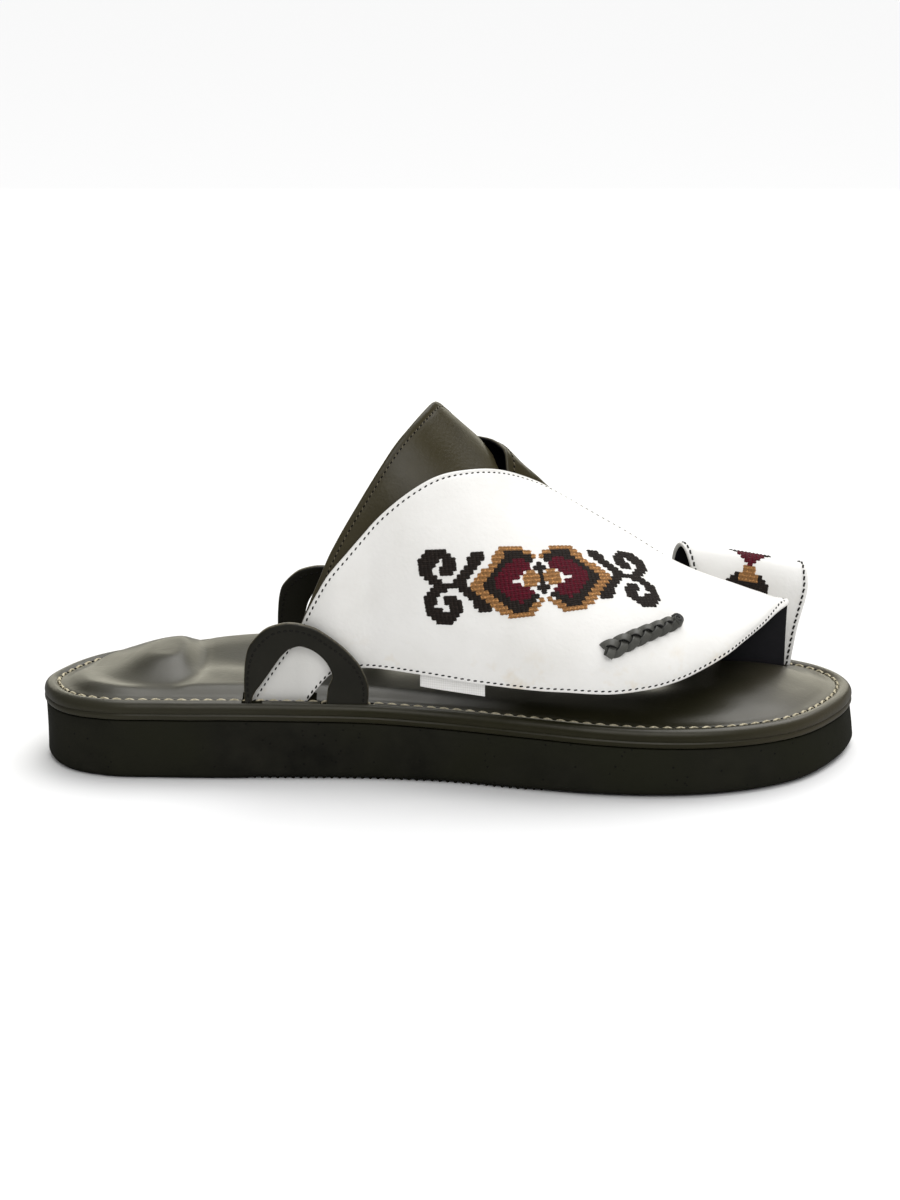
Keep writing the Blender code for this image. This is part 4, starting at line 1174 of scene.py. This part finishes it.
x, turn = wing_layout(PANEL_REAR, 0.0, 2.0, 96, 120)
panel, panel_up = sheet("white_panel", panel_skin(x, turn),
                        lifted(x, turn, PANEL_INSIDE + 0.5 * panel_wave(x, turn)),
                        [white, lining], WHITE_WRAP, 2.2, groove(0.20 * MM))
settle(panel, "root", ("overlay_panel",))
first, last = SEAM_LINE, -SEAM_LINE - 1
panel_paths, panel_normals = seam_rows(panel_up, [
    (first, slice(first, last + 1)), (slice(first, last), last),
    (last - 1, slice(first, last + 1)), (slice(first, last), first),
])
# Where the strap's edge climbs steeply, its seam keeps further from the grid's edge line.
steep = ramp(panel_up[first:last, first, 0], STRAP_START_X, -5 * MM)[:, None]
panel_paths[3] = panel_paths[3] + (
    panel_up[first:last, first + 2] - panel_paths[3]) * 0.75 * steep
sew("panel_stitches", panel_paths, panel_normals, dark_thread, "white_leather", **PANEL_SEAM)


# ---- embroidery on the panel -------------------------------------------------------------------
# A traditional counted-thread band, worked before the panel is lined: two stepped diamonds in
# crimson and gold between dark brown scrolls. Each counted cell is filled with a few threads.

# The left half of the band, one letter to a cell and the last column its centre line: K is dark
# brown, O gold, R crimson and a point bare leather.
BAND_CHART = [
    "..KKKKK.............OOOOOO....",
    ".KKKKKKK.....KKK...OOKKKKKOO..",
    "KKKKK.KKK...KKKK..OOOKKKKKKKO.",
    "KKKK..KKK...KKK...OOKKKRRRKK..",
    "KKK..KKKK..KKK...OOKKRRRRRR..K",
    "KKK..KKK..KKK..OOOKKRRRRRRR.KK",
    ".KKK.....KKK..OOOKKRRRRRR.OO.K",
    "..KKK...KKK..OOOKKRRRRRR.OOOOK",
    "...KKKKKKKK.OOOKKKRRRR...OOOOK",
    "..KKKK...KKKOOOKKKRRRRRR.OOO.K",
    ".KKK......KKKOOOKKKRRRRRRR..KK",
    "KKK..KKK...KKKOOOKKKRRRRRRR..K",
    "KKK..KKKK...KKKOOOKKKRRRRRKK..",
    "KK....KKK...KKKKOOOKKKKRKKK.O.",
    "KKKK..KKK....KKK.OOOKKKKKKOO..",
    "KKKKKKKK..........OOOKKKKOO...",
    ".KKKKKK.............OOOOOO....",
    "..KKKK........................",
]
BAND_CENTRE = (31.0 * MM, 0.434)
BAND_CENTRE_ROW = 8
BAND_ALONG = (0.969, 0.248, -0.015)
BAND_ROW = 1.515 * MM
BAND_COLUMN_REAR = 1.40 * MM
BAND_COLUMN_FRONT = 1.47 * MM
BAND_COLUMNS = 30
# How far the band curves up towards each end, to stay straight on the bulging panel.
BAND_BOW_REAR = 1.9 * MM
BAND_BOW_FRONT = 2.0 * MM
BAND_LEAN_FRONT = 0.06
THREAD_COLOURS = {"K": (0.030, 0.021, 0.016), "O": (0.56, 0.275, 0.095),
                  "R": (0.150, 0.004, 0.019)}
# How threads fill a cell: number, slant in degrees, length in cells and radius in millimetres.
THREAD_LAY = {"K": (4, 9.0, 1.3, 0.22), "O": (3, 38.0, 1.15, 0.235), "R": (5, 16.0, 1.25, 0.19)}
THREAD_LIFT = 0.16 * MM
# How far single threads vary: in slant, tone, length, height and place along the cell.
SLANT_SPREAD = 5.0
TONE_RANGE = (0.72, 1.3)
LENGTH_RANGE = (0.93, 1.06)
LIFT_RANGE = (-0.03, 0.05)
SHIFT_SPREAD = 0.10
# Two loose threads under each cell keep the leather from showing between the stitches; drawn at
# half their thread's tone, they are painted shade between the stitches.
UNDERLAY_RADIUS = 0.64 * MM
UNDERLAY_DROP = 0.05 * MM
UNDERLAY_LENGTH = 1.7
UNDERLAY_SIDES = (-0.27, 0.27)
UNDERLAY_SHADE = 0.5
THREAD_ARCH_RADIUS = 0.14

# The small steps along and round a skin by which its slopes are measured.
steps_of = {panel_skin: (0.5 * MM, 0.006)}


def slopes(skin, first, second):
    """The two directions in which a skin runs at each place."""
    step, step_round = steps_of[skin]
    ahead = (skin(first + step, second) - skin(first - step, second)) / (2 * step)
    round_it = skin(first, second + step_round) - skin(first, second - step_round)
    return ahead, round_it / (2 * step_round)


def walk(skin, first, second, direction, distance, steps):
    """Moves places over a skin by a distance, as near to a direction as the skin allows."""
    for _ in range(steps):
        a, b = slopes(skin, first, second)
        aa, ab, bb = (a * a).sum(-1), (a * b).sum(-1), (b * b).sum(-1)
        ad, bd = (a * direction).sum(-1), (b * direction).sum(-1)
        scale = aa * bb - ab * ab
        move_a, move_b = (ad * bb - bd * ab) / scale, (bd * aa - ad * ab) / scale
        long = np.linalg.norm(a * move_a[..., None] + b * move_b[..., None], axis=-1)
        first = first + move_a / long * distance / steps
        second = second + move_b / long * distance / steps
    return first, second


def chart_cells(skin, start, along, above, below, columns, row_size, column_sizes, bows=(0, 0),
                leans=(0, 0)):
    """Places of a counted grid laid on a skin: {(column, row): (first, second)}.

    Column sizes, bows and leans are given for the rear half and the front half.
    """
    first, second = np.array([start[0]]), np.array([start[1]])
    normal = unit(np.cross(*slopes(skin, first, second))[0])
    along = unit(np.array(along) - normal * np.dot(normal, along))
    upward = np.cross(normal, along)
    cells = {(0, 0): (first[0], second[0])}
    for sign, count in ((1, above), (-1, below)):
        p, q = first, second
        for row in range(1, count + 1):
            p, q = walk(skin, p, q, upward * sign, row_size, 2)
            cells[0, row * sign] = (p[0], q[0])
    rows = sorted(row for _, row in cells)
    for sign in (-1, 1):
        p = np.array([cells[0, row][0] for row in rows])
        q = np.array([cells[0, row][1] for row in rows])
        size, bow = column_sizes[sign > 0], bows[sign > 0]
        for column in range(1, columns + 1):
            climb = leans[sign > 0] + 2 * bow * column / columns**2 / size
            p, q = walk(skin, p, q, along * sign + upward * climb, size, 1)
            for i, row in enumerate(rows):
                cells[column * sign, row] = (p[i], q[i])
    return cells, along


def thread_cells(skin, cells, along, chart, sizes, seed):
    """Places, normals, directions, lengths, radii and colours of all the threads of a chart."""
    chance = np.random.default_rng(seed)
    filled = [(spot, letter) for spot, letter in sorted(chart.items()) if spot in cells]
    first, second = np.array([cells[spot] for spot, _ in filled]).T
    normals = unit(np.cross(*slopes(skin, first, second)))
    aheads = unit(along - normals * (normals @ along)[:, None])
    centres = skin(first, second)
    found = []
    for (spot, letter), normal, ahead, centre in zip(filled, normals, aheads, centres):
        count, slant, long, radius = THREAD_LAY[letter]
        upward = np.cross(normal, ahead)
        tilt = math.radians(slant) * (1 if (spot[1] + spot[0] * (letter == "O")) % 2 else -1)
        for k in range(count):
            turned = tilt + math.radians(chance.uniform(-SLANT_SPREAD, SLANT_SPREAD))
            part = (k + 0.5) / count - 0.5
            if letter == "O":
                line = upward * math.cos(turned) + ahead * math.sin(turned)
                place = centre + ahead * part * sizes[0] * 1.05
                reach = sizes[1]
            else:
                line = ahead * math.cos(turned) + upward * math.sin(turned)
                side = upward * math.cos(tilt) - ahead * math.sin(tilt)
                place = centre + side * part * sizes[1]
                place = place + ahead * chance.uniform(-SHIFT_SPREAD, SHIFT_SPREAD) * sizes[0]
                reach = sizes[0]
            tone = np.array(THREAD_COLOURS[letter]) * chance.uniform(*TONE_RANGE)
            found.append((place + normal * (THREAD_LIFT + chance.uniform(*LIFT_RANGE) * MM),
                          normal, line, reach * long * chance.uniform(*LENGTH_RANGE),
                          radius * MM, tone))
        # The underlay threads are darker than their cell's threads: painted shade under the
        # stitches.
        for part in UNDERLAY_SIDES:
            place = centre + upward * part * sizes[1] - normal * UNDERLAY_DROP
            found.append((place, normal, ahead, sizes[0] * UNDERLAY_LENGTH, UNDERLAY_RADIUS,
                          np.array(THREAD_COLOURS[letter]) * UNDERLAY_SHADE))
    return found


embroidery_silk, tree, shader = new_finish("embroidery_thread", Roughness=0.55,
                                           Specular_IOR_Level=0.18)
dye = add_node(tree, "ShaderNodeAttribute", attribute_name="dye").outputs["Color"]
place = add_node(tree, "ShaderNodeTexCoord").outputs["Object"]
fluff = add_node(tree, "ShaderNodeTexNoise", {"Vector": place, "Scale": 2300.0, "Detail": 2.0})
shade = add_node(tree, "ShaderNodeMix", {0: 0.55, 6: dye}, data_type="RGBA",
                 blend_type="MULTIPLY")
tree.links.new(fluff.outputs[0], shade.inputs[7])
lighter = blend_colours(tree, 0.45, shade.outputs[2], dye)
tree.links.new(lighter, shader.inputs["Base Color"])
emboss(tree, shader, fluff.outputs[0], 0.6, 0.00008)

thread_tree, given = new_tree("thread_field", [("Finish", "Material")])
bow_ends = [add_node(thread_tree, "ShaderNodeCombineXYZ", {0: x, 2: z}).outputs[0]
            for x, z in ((-0.5, -0.22), (0.0, 0.20), (0.5, -0.22))]
bow = add_node(thread_tree, "GeometryNodeCurveQuadraticBezier", {
    "Resolution": 4, "Start": bow_ends[0], "Middle": bow_ends[1], "End": bow_ends[2],
})
section = add_node(thread_tree, "GeometryNodeCurvePrimitiveCircle", {
    "Resolution": 5, "Radius": 1.0,
})
fine = add_node(thread_tree, "GeometryNodeTransform", {
    0: section.outputs[0], "Scale": (THREAD_ARCH_RADIUS, THREAD_ARCH_RADIUS, 1.0),
})
strand = add_node(thread_tree, "GeometryNodeCurveToMesh", {
    0: bow.outputs[0], 1: fine.outputs[0], "Fill Caps": True,
})
upright = add_node(thread_tree, "FunctionNodeAlignRotationToVector", {
    "Vector": stored(thread_tree, "upward")}, axis="Z").outputs[0]
laid = add_node(thread_tree, "FunctionNodeAlignRotationToVector", {
    "Rotation": upright, "Vector": stored(thread_tree, "lay")}, axis="X",
    pivot_axis="Z").outputs[0]
thicker = combine(thread_tree, "MULTIPLY", stored(thread_tree, "thick", "FLOAT"),
                  1 / THREAD_ARCH_RADIUS)
stretch = add_node(thread_tree, "ShaderNodeCombineXYZ", {
    0: stored(thread_tree, "long", "FLOAT"), 1: thicker, 2: thicker,
})
field = add_node(thread_tree, "GeometryNodeInstanceOnPoints", {
    "Points": given[0], "Instance": strand.outputs[0], "Rotation": laid,
    "Scale": stretch.outputs[0],
})
end_tree(thread_tree, field.outputs[0], given["Finish"])


def embroider(name, threads):
    """One piece of all the threads of a chart."""
    places, normals, lines, longs, thicks, tones = (np.array(part) for part in zip(*threads))
    grow(name, thread_tree, [[place] for place in places], {"Finish": embroidery_silk},
         marks={"upward": normals, "lay": lines, "long": longs, "thick": thicks, "dye": tones})


band_cells, band_along = chart_cells(
    panel_skin, BAND_CENTRE, BAND_ALONG, BAND_CENTRE_ROW, len(BAND_CHART) - 1 - BAND_CENTRE_ROW,
    BAND_COLUMNS, BAND_ROW, (BAND_COLUMN_REAR, BAND_COLUMN_FRONT),
    (BAND_BOW_REAR, BAND_BOW_FRONT), (0.0, BAND_LEAN_FRONT))
band = {}
for number, line in enumerate(BAND_CHART):
    for back, letter in enumerate(reversed(line)):
        if letter != ".":
            for column in (-back, back):
                band[column, BAND_CENTRE_ROW - number] = letter
embroider("band_embroidery", thread_cells(panel_skin, band_cells, band_along, band,
                                          (BAND_COLUMN_REAR, BAND_ROW), 11))


# ---- plait -------------------------------------------------------------------------------------
# The real plait is three flat strips of dark leather, plaited by hand, cut off slanting at its
# lower end and rolled into a small knob at the other, and tacked down to the panel.

PLAIT_START = (52.0 * MM, 0.212)
PLAIT_END = (75.6 * MM, 0.408)
PLAIT_PERIOD = 14.4 * MM
PLAIT_SWING = 2.35 * MM
PLAIT_TAPER = 0.40
PLAIT_RISE = 0.90 * MM
PLAIT_LIFT = 1.30 * MM
STRIP_WIDTH = 3.0 * MM
STRIP_THICKNESS = 1.05 * MM
STRIP_ROLL = 0.65
KNOB_RADIUS = 2.55 * MM
KNOB_TURNS = 1.9
KNOB_START_ANGLE = 2.2
KNOB_LIFT = 1.55 * MM

plait_leather, tree, shader = new_finish("plait_leather", Specular_IOR_Level=0.45)
place, skin = leather_grain(tree, 1300.0, 60.0)
strip_tone = blend_colours(tree, skin["Tone"], (0.045, 0.045, 0.038), (0.075, 0.074, 0.064))
cut_side = add_node(tree, "ShaderNodeAttribute", attribute_name="cut_side").outputs["Fac"]
strip_tone = blend_colours(tree, cut_side, strip_tone, (0.003, 0.003, 0.003))
finish_leather(tree, shader, strip_tone, skin, 0.42, 0.58, 0.6, 0.00014)

strip_tree, given = new_tree("leather_strip", [
    ("Width", "Float"), ("Thickness", "Float"), ("Finish", "Material"),
])
strip_path = add_node(strip_tree, "GeometryNodeMeshToCurve", {0: given[0]})
facing_up = add_node(strip_tree, "GeometryNodeSetCurveNormal", {
    0: strip_path.outputs[0], "Normal": stored(strip_tree, "upward")}, mode="FREE")
block = add_node(strip_tree, "GeometryNodeCurvePrimitiveQuadrilateral", {
    "Width": given["Thickness"], "Height": given["Width"],
})
rounded = add_node(strip_tree, "GeometryNodeFilletCurve", {
    0: block.outputs[0], "Radius": combine(strip_tree, "MULTIPLY", given["Thickness"], 0.3),
    "Count": 2}, mode="POLY")
spot = add_node(strip_tree, "ShaderNodeSeparateXYZ", {
    0: add_node(strip_tree, "GeometryNodeInputPosition").outputs[0]}).outputs
cut_mask = combine(strip_tree, "GREATER_THAN", combine(strip_tree, "ABSOLUTE", spot[1], 0.0),
                   combine(strip_tree, "MULTIPLY", given["Width"], 0.485))
marked = add_node(strip_tree, "GeometryNodeStoreNamedAttribute", {
    0: rounded.outputs[0], "Name": "cut_side", "Value": cut_mask}, data_type="FLOAT",
    domain="POINT")
strip = add_node(strip_tree, "GeometryNodeCurveToMesh", {
    0: facing_up.outputs[0], 1: marked.outputs[0], "Fill Caps": True,
})
end_tree(strip_tree, strip.outputs[0], given["Finish"])

plait_steps = np.linspace(0, 1, 400)
x = PLAIT_START[0] + (PLAIT_END[0] - PLAIT_START[0]) * plait_steps
turn = PLAIT_START[1] + (PLAIT_END[1] - PLAIT_START[1]) * plait_steps
spine = panel_skin(x, turn)
spine_up = facing(tunnel, x, turn)
spine_ahead = unit(np.gradient(spine, axis=0))
spine_across = np.cross(spine_up, spine_ahead)
run = run_along(spine)
rows, ups = [], []
for strand_number in range(3):
    phase = 2 * math.pi * (run / PLAIT_PERIOD + strand_number / 3) + 0.35
    narrowing = 1 - PLAIT_TAPER * run / run[-1]
    side = -np.cos(phase) * PLAIT_SWING * narrowing
    rise = np.sin(2 * phase) * PLAIT_RISE
    path = spine + spine_across * side[:, None] + spine_up * (PLAIT_LIFT + rise)[:, None]
    roll = np.cos(phase) * STRIP_ROLL
    up = spine_up * np.cos(roll)[:, None] - spine_across * np.sin(roll)[:, None]
    rows.append(path[::5])
    ups.append(up[::5])
grow("plait_strips", strip_tree, rows, {
    "Width": STRIP_WIDTH, "Thickness": STRIP_THICKNESS, "Finish": plait_leather,
}, ("braid",), {"upward": np.concatenate(ups)})

knob_ahead, knob_across, knob_up = spine_ahead[-1], spine_across[-1], spine_up[-1]
knob_centre = spine[-1] + knob_ahead * KNOB_RADIUS * 0.55 + knob_up * KNOB_LIFT
angles = np.linspace(0, 2 * math.pi * KNOB_TURNS, 60)
radii = 0.55 * MM + (KNOB_RADIUS - 0.95 * MM) * angles / angles[-1]
ahead_part = np.cos(angles + KNOB_START_ANGLE)
across_part = np.sin(angles + KNOB_START_ANGLE)
coil = (knob_centre + knob_ahead * (ahead_part * radii)[:, None]
        + knob_across * (across_part * radii)[:, None]
        + knob_up * (0.35 * MM * (1 - angles / angles[-1]))[:, None])
coil_up = knob_ahead * ahead_part[:, None] + knob_across * across_part[:, None] + knob_up * 0.25
grow("plait_knob", strip_tree, [coil], {
    "Width": 2.5 * MM, "Thickness": 0.8 * MM, "Finish": plait_leather,
}, marks={"upward": coil_up})


# ---- label tab ---------------------------------------------------------------------------------
# The real tab is a short piece of white satin ribbon, folded double and caught in the seam under
# the panel's lower edge, from which it stands a few millimetres down. It is left blank.

LABEL_REAR_X = -10.3 * MM
LABEL_FRONT_X = 12.0 * MM
LABEL_DROP = 4.9 * MM
LABEL_THICKNESS = 0.62 * MM

ribbon, tree, shader = new_finish("satin_ribbon", Roughness=0.55, Sheen_Weight=0.3)
place = add_node(tree, "ShaderNodeTexCoord").outputs["Object"]
weave = add_node(tree, "ShaderNodeTexWave", {"Vector": place, "Scale": 420.0, "Distortion": 0.4},
                 bands_direction="X")
warp = add_node(tree, "ShaderNodeTexWave", {"Vector": place, "Scale": 360.0, "Distortion": 0.4},
                bands_direction="Z")
cloth = combine(tree, "ADD", combine(tree, "MULTIPLY", weave.outputs["Fac"], 0.5),
                combine(tree, "MULTIPLY", warp.outputs["Fac"], 0.5))
tree.links.new(blend_colours(tree, cloth, (0.70, 0.69, 0.66), (0.84, 0.83, 0.81)),
               shader.inputs["Base Color"])
emboss(tree, shader, cloth, 0.5, 0.0001)

along_label = stations(LABEL_FRONT_X - LABEL_REAR_X, 22, EDGE_STEPS[:6], EDGE_STEPS[:6])[0]
down_label = stations(LABEL_DROP, 8, EDGE_STEPS[:5], EDGE_STEPS[:5])[0]
across_label, fall = np.meshgrid(along_label, down_label, indexing="ij")
x = LABEL_REAR_X + (LABEL_FRONT_X - LABEL_REAR_X) * across_label
hem = tunnel(x, np.zeros_like(x))
curl = 0.35 * MM * np.sin(fall * 2.6) + 0.22 * MM * np.sin(x * 260.0) * fall
label_front = hem + np.stack([0 * x, 0.55 * MM + curl, -0.25 * MM - fall * LABEL_DROP], -1)
label_back = label_front + np.array((0.0, LABEL_THICKNESS, 0.0))
label_tab, _ = sheet("label_tab_ribbon", label_front, label_back, [ribbon], 0.0, 2.0)
settle(label_tab, "root", ("label_tab",))


# ---- toe loop ----------------------------------------------------------------------------------
# The real toe loop is a band of the same lined white leather, arched over the big toe, sewn along
# both edges and let into the footbed at its two ends. A small stepped motif is worked on its top.

LOOP_OUTER_Y = 17.2 * MM
LOOP_INNER_Y = 35.5 * MM
LOOP_FOOT_Z = 24.6 * MM
LOOP_REAR_TOP = 69.6 * MM
LOOP_FRONT_TOP = 61.5 * MM
LOOP_SQUARENESS = 0.8
LOOP_WALL = 1.6 * MM
LOOP_EDGES = table("turn rear_x front_x", [
    (0.0, 92.5, 124.6), (0.08, 91.6, 126.2), (0.3, 87.2, 130.3), (0.5, 84.0, 130.0),
    (0.7, 81.6, 122.8), (0.92, 81.0, 114.5), (1.0, 81.0, 113.0),
], 1)


def loop_skin(part, turn, inset=0.0):
    """Places on the toe loop: turn runs over the toe, part from the rear edge to the front."""
    part, turn = np.broadcast_arrays(np.asarray(part, float), np.asarray(turn, float))
    angle = np.clip(turn, 0.0, 1.0) * math.pi
    rear = through(LOOP_EDGES["turn"], LOOP_EDGES["rear_x"], turn) * MM
    front = through(LOOP_EDGES["turn"], LOOP_EDGES["front_x"], turn) * MM
    middle = (LOOP_OUTER_Y + LOOP_INNER_Y) / 2
    reach = (LOOP_INNER_Y - LOOP_OUTER_Y) / 2 - inset
    top = LOOP_REAR_TOP + (LOOP_FRONT_TOP - LOOP_REAR_TOP) * part
    across = np.cos(angle)
    y = middle - reach * np.sign(across) * np.abs(across) ** LOOP_SQUARENESS
    rise = np.maximum(np.sin(angle), 0.0) ** LOOP_SQUARENESS
    z = LOOP_FOOT_Z + (top - inset - LOOP_FOOT_Z) * rise
    return np.stack([rear + (front - rear) * part, y, z], -1)


turns = np.linspace(0, 1, 241)
arch = loop_skin(0.5, turns)
run = run_along(arch)
turn_line = np.interp(np.linspace(0, run[-1], 110), run, turns)
loop_width = np.linalg.norm(loop_skin(1.0, turn_line) - loop_skin(0.0, turn_line), axis=1)
part_lines = stations(loop_width, 26)
turn = np.broadcast_to(turn_line[:, None], part_lines.shape)
pillow = 0.12 * MM * np.sin(part_lines * 9.0 + turn * 14.0)
loop_sheet, loop_up = sheet("toe_loop_band", loop_skin(part_lines, turn, pillow),
                            loop_skin(part_lines, turn, LOOP_WALL), [white, lining], WHITE_WRAP,
                            2.3, groove(0.2 * MM))
settle(loop_sheet, "root", ("toe_loop",))
loop_paths, loop_normals = seam_rows(loop_up, [(slice(2, -2), SEAM_LINE),
                                               (slice(2, -2), -SEAM_LINE - 1)])
sew("toe_loop_stitches", loop_paths, loop_normals, dark_thread, "white_leather", **PANEL_SEAM)

# The motif, with its waist in the middle and the same letters as the band.
MOTIF_CHART = [
    "KKKKKKKKKKK",
    ".KRRRRRRRK.",
    "..RRRRRRR..",
    "...RRRRR...",
    "....RRR....",
    ".....R.....",
    "....OOO....",
    "....OOO....",
    "..KOOOOOK..",
    ".KKOOOOOKK.",
    "KKKKKKKKKKK",
    "KKKKKKKKKKK",
    "KKKKKKKKKKK",
]
MOTIF_WAIST_ROW = 5
MOTIF_HALF_COLUMNS = 5
MOTIF_CENTRE = (0.52, 0.365)
MOTIF_CELL = 1.40 * MM
steps_of[loop_skin] = (0.01, 0.004)
rear_to_front = loop_skin(1.0, MOTIF_CENTRE[1]) - loop_skin(0.0, MOTIF_CENTRE[1])
motif_cells, motif_along = chart_cells(
    loop_skin, MOTIF_CENTRE, rear_to_front, MOTIF_WAIST_ROW,
    len(MOTIF_CHART) - 1 - MOTIF_WAIST_ROW, MOTIF_HALF_COLUMNS, MOTIF_CELL,
    (MOTIF_CELL, MOTIF_CELL))
motif = {(k - MOTIF_HALF_COLUMNS, MOTIF_WAIST_ROW - number): letter
         for number, line in enumerate(MOTIF_CHART)
         for k, letter in enumerate(line) if letter != "."}
embroider("toe_loop_embroidery", thread_cells(loop_skin, motif_cells, motif_along, motif,
                                              (MOTIF_CELL, MOTIF_CELL), 5))


# ---- ears --------------------------------------------------------------------------------------
# The real ears are two horseshoes cut from doubled olive leather, sewn round their outer edge and
# let into the footbed, one on each side of the heel. The strap ends pass down inside them.

# Side, rear end, height of the foot and how tall the ear is against the table.
EARS = {
    "ear_lateral": (-1, -71.0 * MM, 24.3 * MM, 1.0),
    "ear_medial": (1, -63.6 * MM, 29.3 * MM, 0.925),
}
EAR_SHAPE = table("outer_x outer_z hole_x hole_z inner_hole_x", [
    (0.2, 0.0, 1.6, 0.0, 8.6), (-0.2, 9.0, 3.0, 6.4, 9.2), (0.2, 17.0, 5.9, 10.6, 9.8),
    (1.2, 22.8, 10.0, 16.5, 11.0), (4.2, 27.4, 13.3, 21.0, 13.3), (9.2, 31.2, 16.2, 23.4, 16.2),
    (16.0, 32.6, 19.4, 24.2, 19.4), (23.2, 31.2, 22.8, 23.2, 22.8),
    (30.0, 27.2, 26.2, 20.9, 26.2), (36.2, 21.8, 29.0, 17.4, 29.0),
    (40.9, 15.4, 30.3, 13.4, 30.3), (42.9, 8.2, 28.8, 9.0, 28.8), (42.4, 0.0, 27.8, 0.0, 27.8),
])
EAR_INNER_Y = 29.7 * MM
EAR_WALL = 2.35 * MM
EAR_HEIGHT = 31.0 * MM
EAR_BOW = 0.45 * MM
EAR_SEAM_SINK = 0.05 * MM
EAR_SEAM_SIDE = 1.75 * MM
EAR_SEAM_TOP = 2.8 * MM

ear_leather, tree, shader = new_finish("ear_leather", Specular_IOR_Level=0.26)
place, skin = leather_grain(tree, 1000.0, 34.0)
ear_tone = blend_colours(tree, skin["Tone"], (0.0094, 0.0088, 0.0053), (0.0150, 0.0140, 0.0087))
rim = add_node(tree, "ShaderNodeAttribute", attribute_name="rim").outputs["Fac"]
fray = add_node(tree, "ShaderNodeTexNoise", {"Vector": place, "Scale": 900.0, "Detail": 3.0})
cut_edge = combine(tree, "MULTIPLY", remap(tree, rim, 0.12, 0.34, 1.0, 0.0),
                   remap(tree, fray.outputs[0], 0.36, 0.55, 0.25, 1.0))
ear_tone = blend_colours(tree, cut_edge, ear_tone, (0.085, 0.073, 0.047))
finish_leather(tree, shader, ear_tone, skin, 0.34, 0.46, 0.55, 0.00014)

marks_along = np.arange(len(EAR_SHAPE["outer_x"]))


def ear_place(ear, round_it, across, out):
    """A place on an ear: round its horseshoe, from its outer edge to its hole, and outwards."""
    side, rear, foot, tall = ear
    hole = "hole_x" if side < 0 else "inner_hole_x"
    outer_x, outer_z, hole_x, hole_z = (through(marks_along, EAR_SHAPE[column], round_it)
                                        for column in ("outer_x", "outer_z", hole, "hole_z"))
    x = rear + outer_x + (hole_x - outer_x) * across
    z = foot + (outer_z + (hole_z - outer_z) * across) * tall
    bow = EAR_BOW * np.sin(np.clip((z - foot) / EAR_HEIGHT, 0, 1) * math.pi)
    y = side * (EAR_INNER_Y + out + bow)
    return np.stack([x, y, z], -1)


ear_rows, ear_ups = [], []
for name, ear in EARS.items():
    round_line = np.linspace(0, marks_along[-1], 150)
    outer_edge, hole_edge = (ear_place(ear, round_line, end, 0.0) for end in (0.0, 1.0))
    wide = np.linalg.norm(outer_edge - hole_edge, axis=1)
    across = stations(wide, 12, EDGE_STEPS[:6], EDGE_STEPS[:6])
    round_it = np.broadcast_to(round_line[:, None], across.shape)
    made, _ = sheet(f"{name}_leather", ear_place(ear, round_it, across, EAR_WALL),
                    ear_place(ear, round_it, across, 0.0), [ear_leather], 0.0, 3.2)
    settle(made, "root", (name,))
    height = through(marks_along, EAR_SHAPE["outer_z"], round_line)
    seam = EAR_SEAM_SIDE + (EAR_SEAM_TOP - EAR_SEAM_SIDE) * smooth_step(height / EAR_HEIGHT) ** 3
    for out, way in ((EAR_WALL - EAR_SEAM_SINK, ear[0]), (EAR_SEAM_SINK, -ear[0])):
        ear_rows.append(ear_place(ear, round_line[4:-4], (seam / wide)[4:-4], out))
        ear_ups.append(np.tile((0.0, float(way), 0.0), (len(ear_rows[-1]), 1)))
sew("ear_stitches", ear_rows, ear_ups, dark_thread, "olive_leather",
    pitch=2.1, length=1.2, radius=0.32, arch=0.22)
# Black marks under the stitches: painted shade of their needle holes.
sew("ear_hole_shade", ear_rows, ear_ups, hole_shade, "olive_leather",
    pitch=2.1, length=1.35, radius=0.46, arch=0.12)
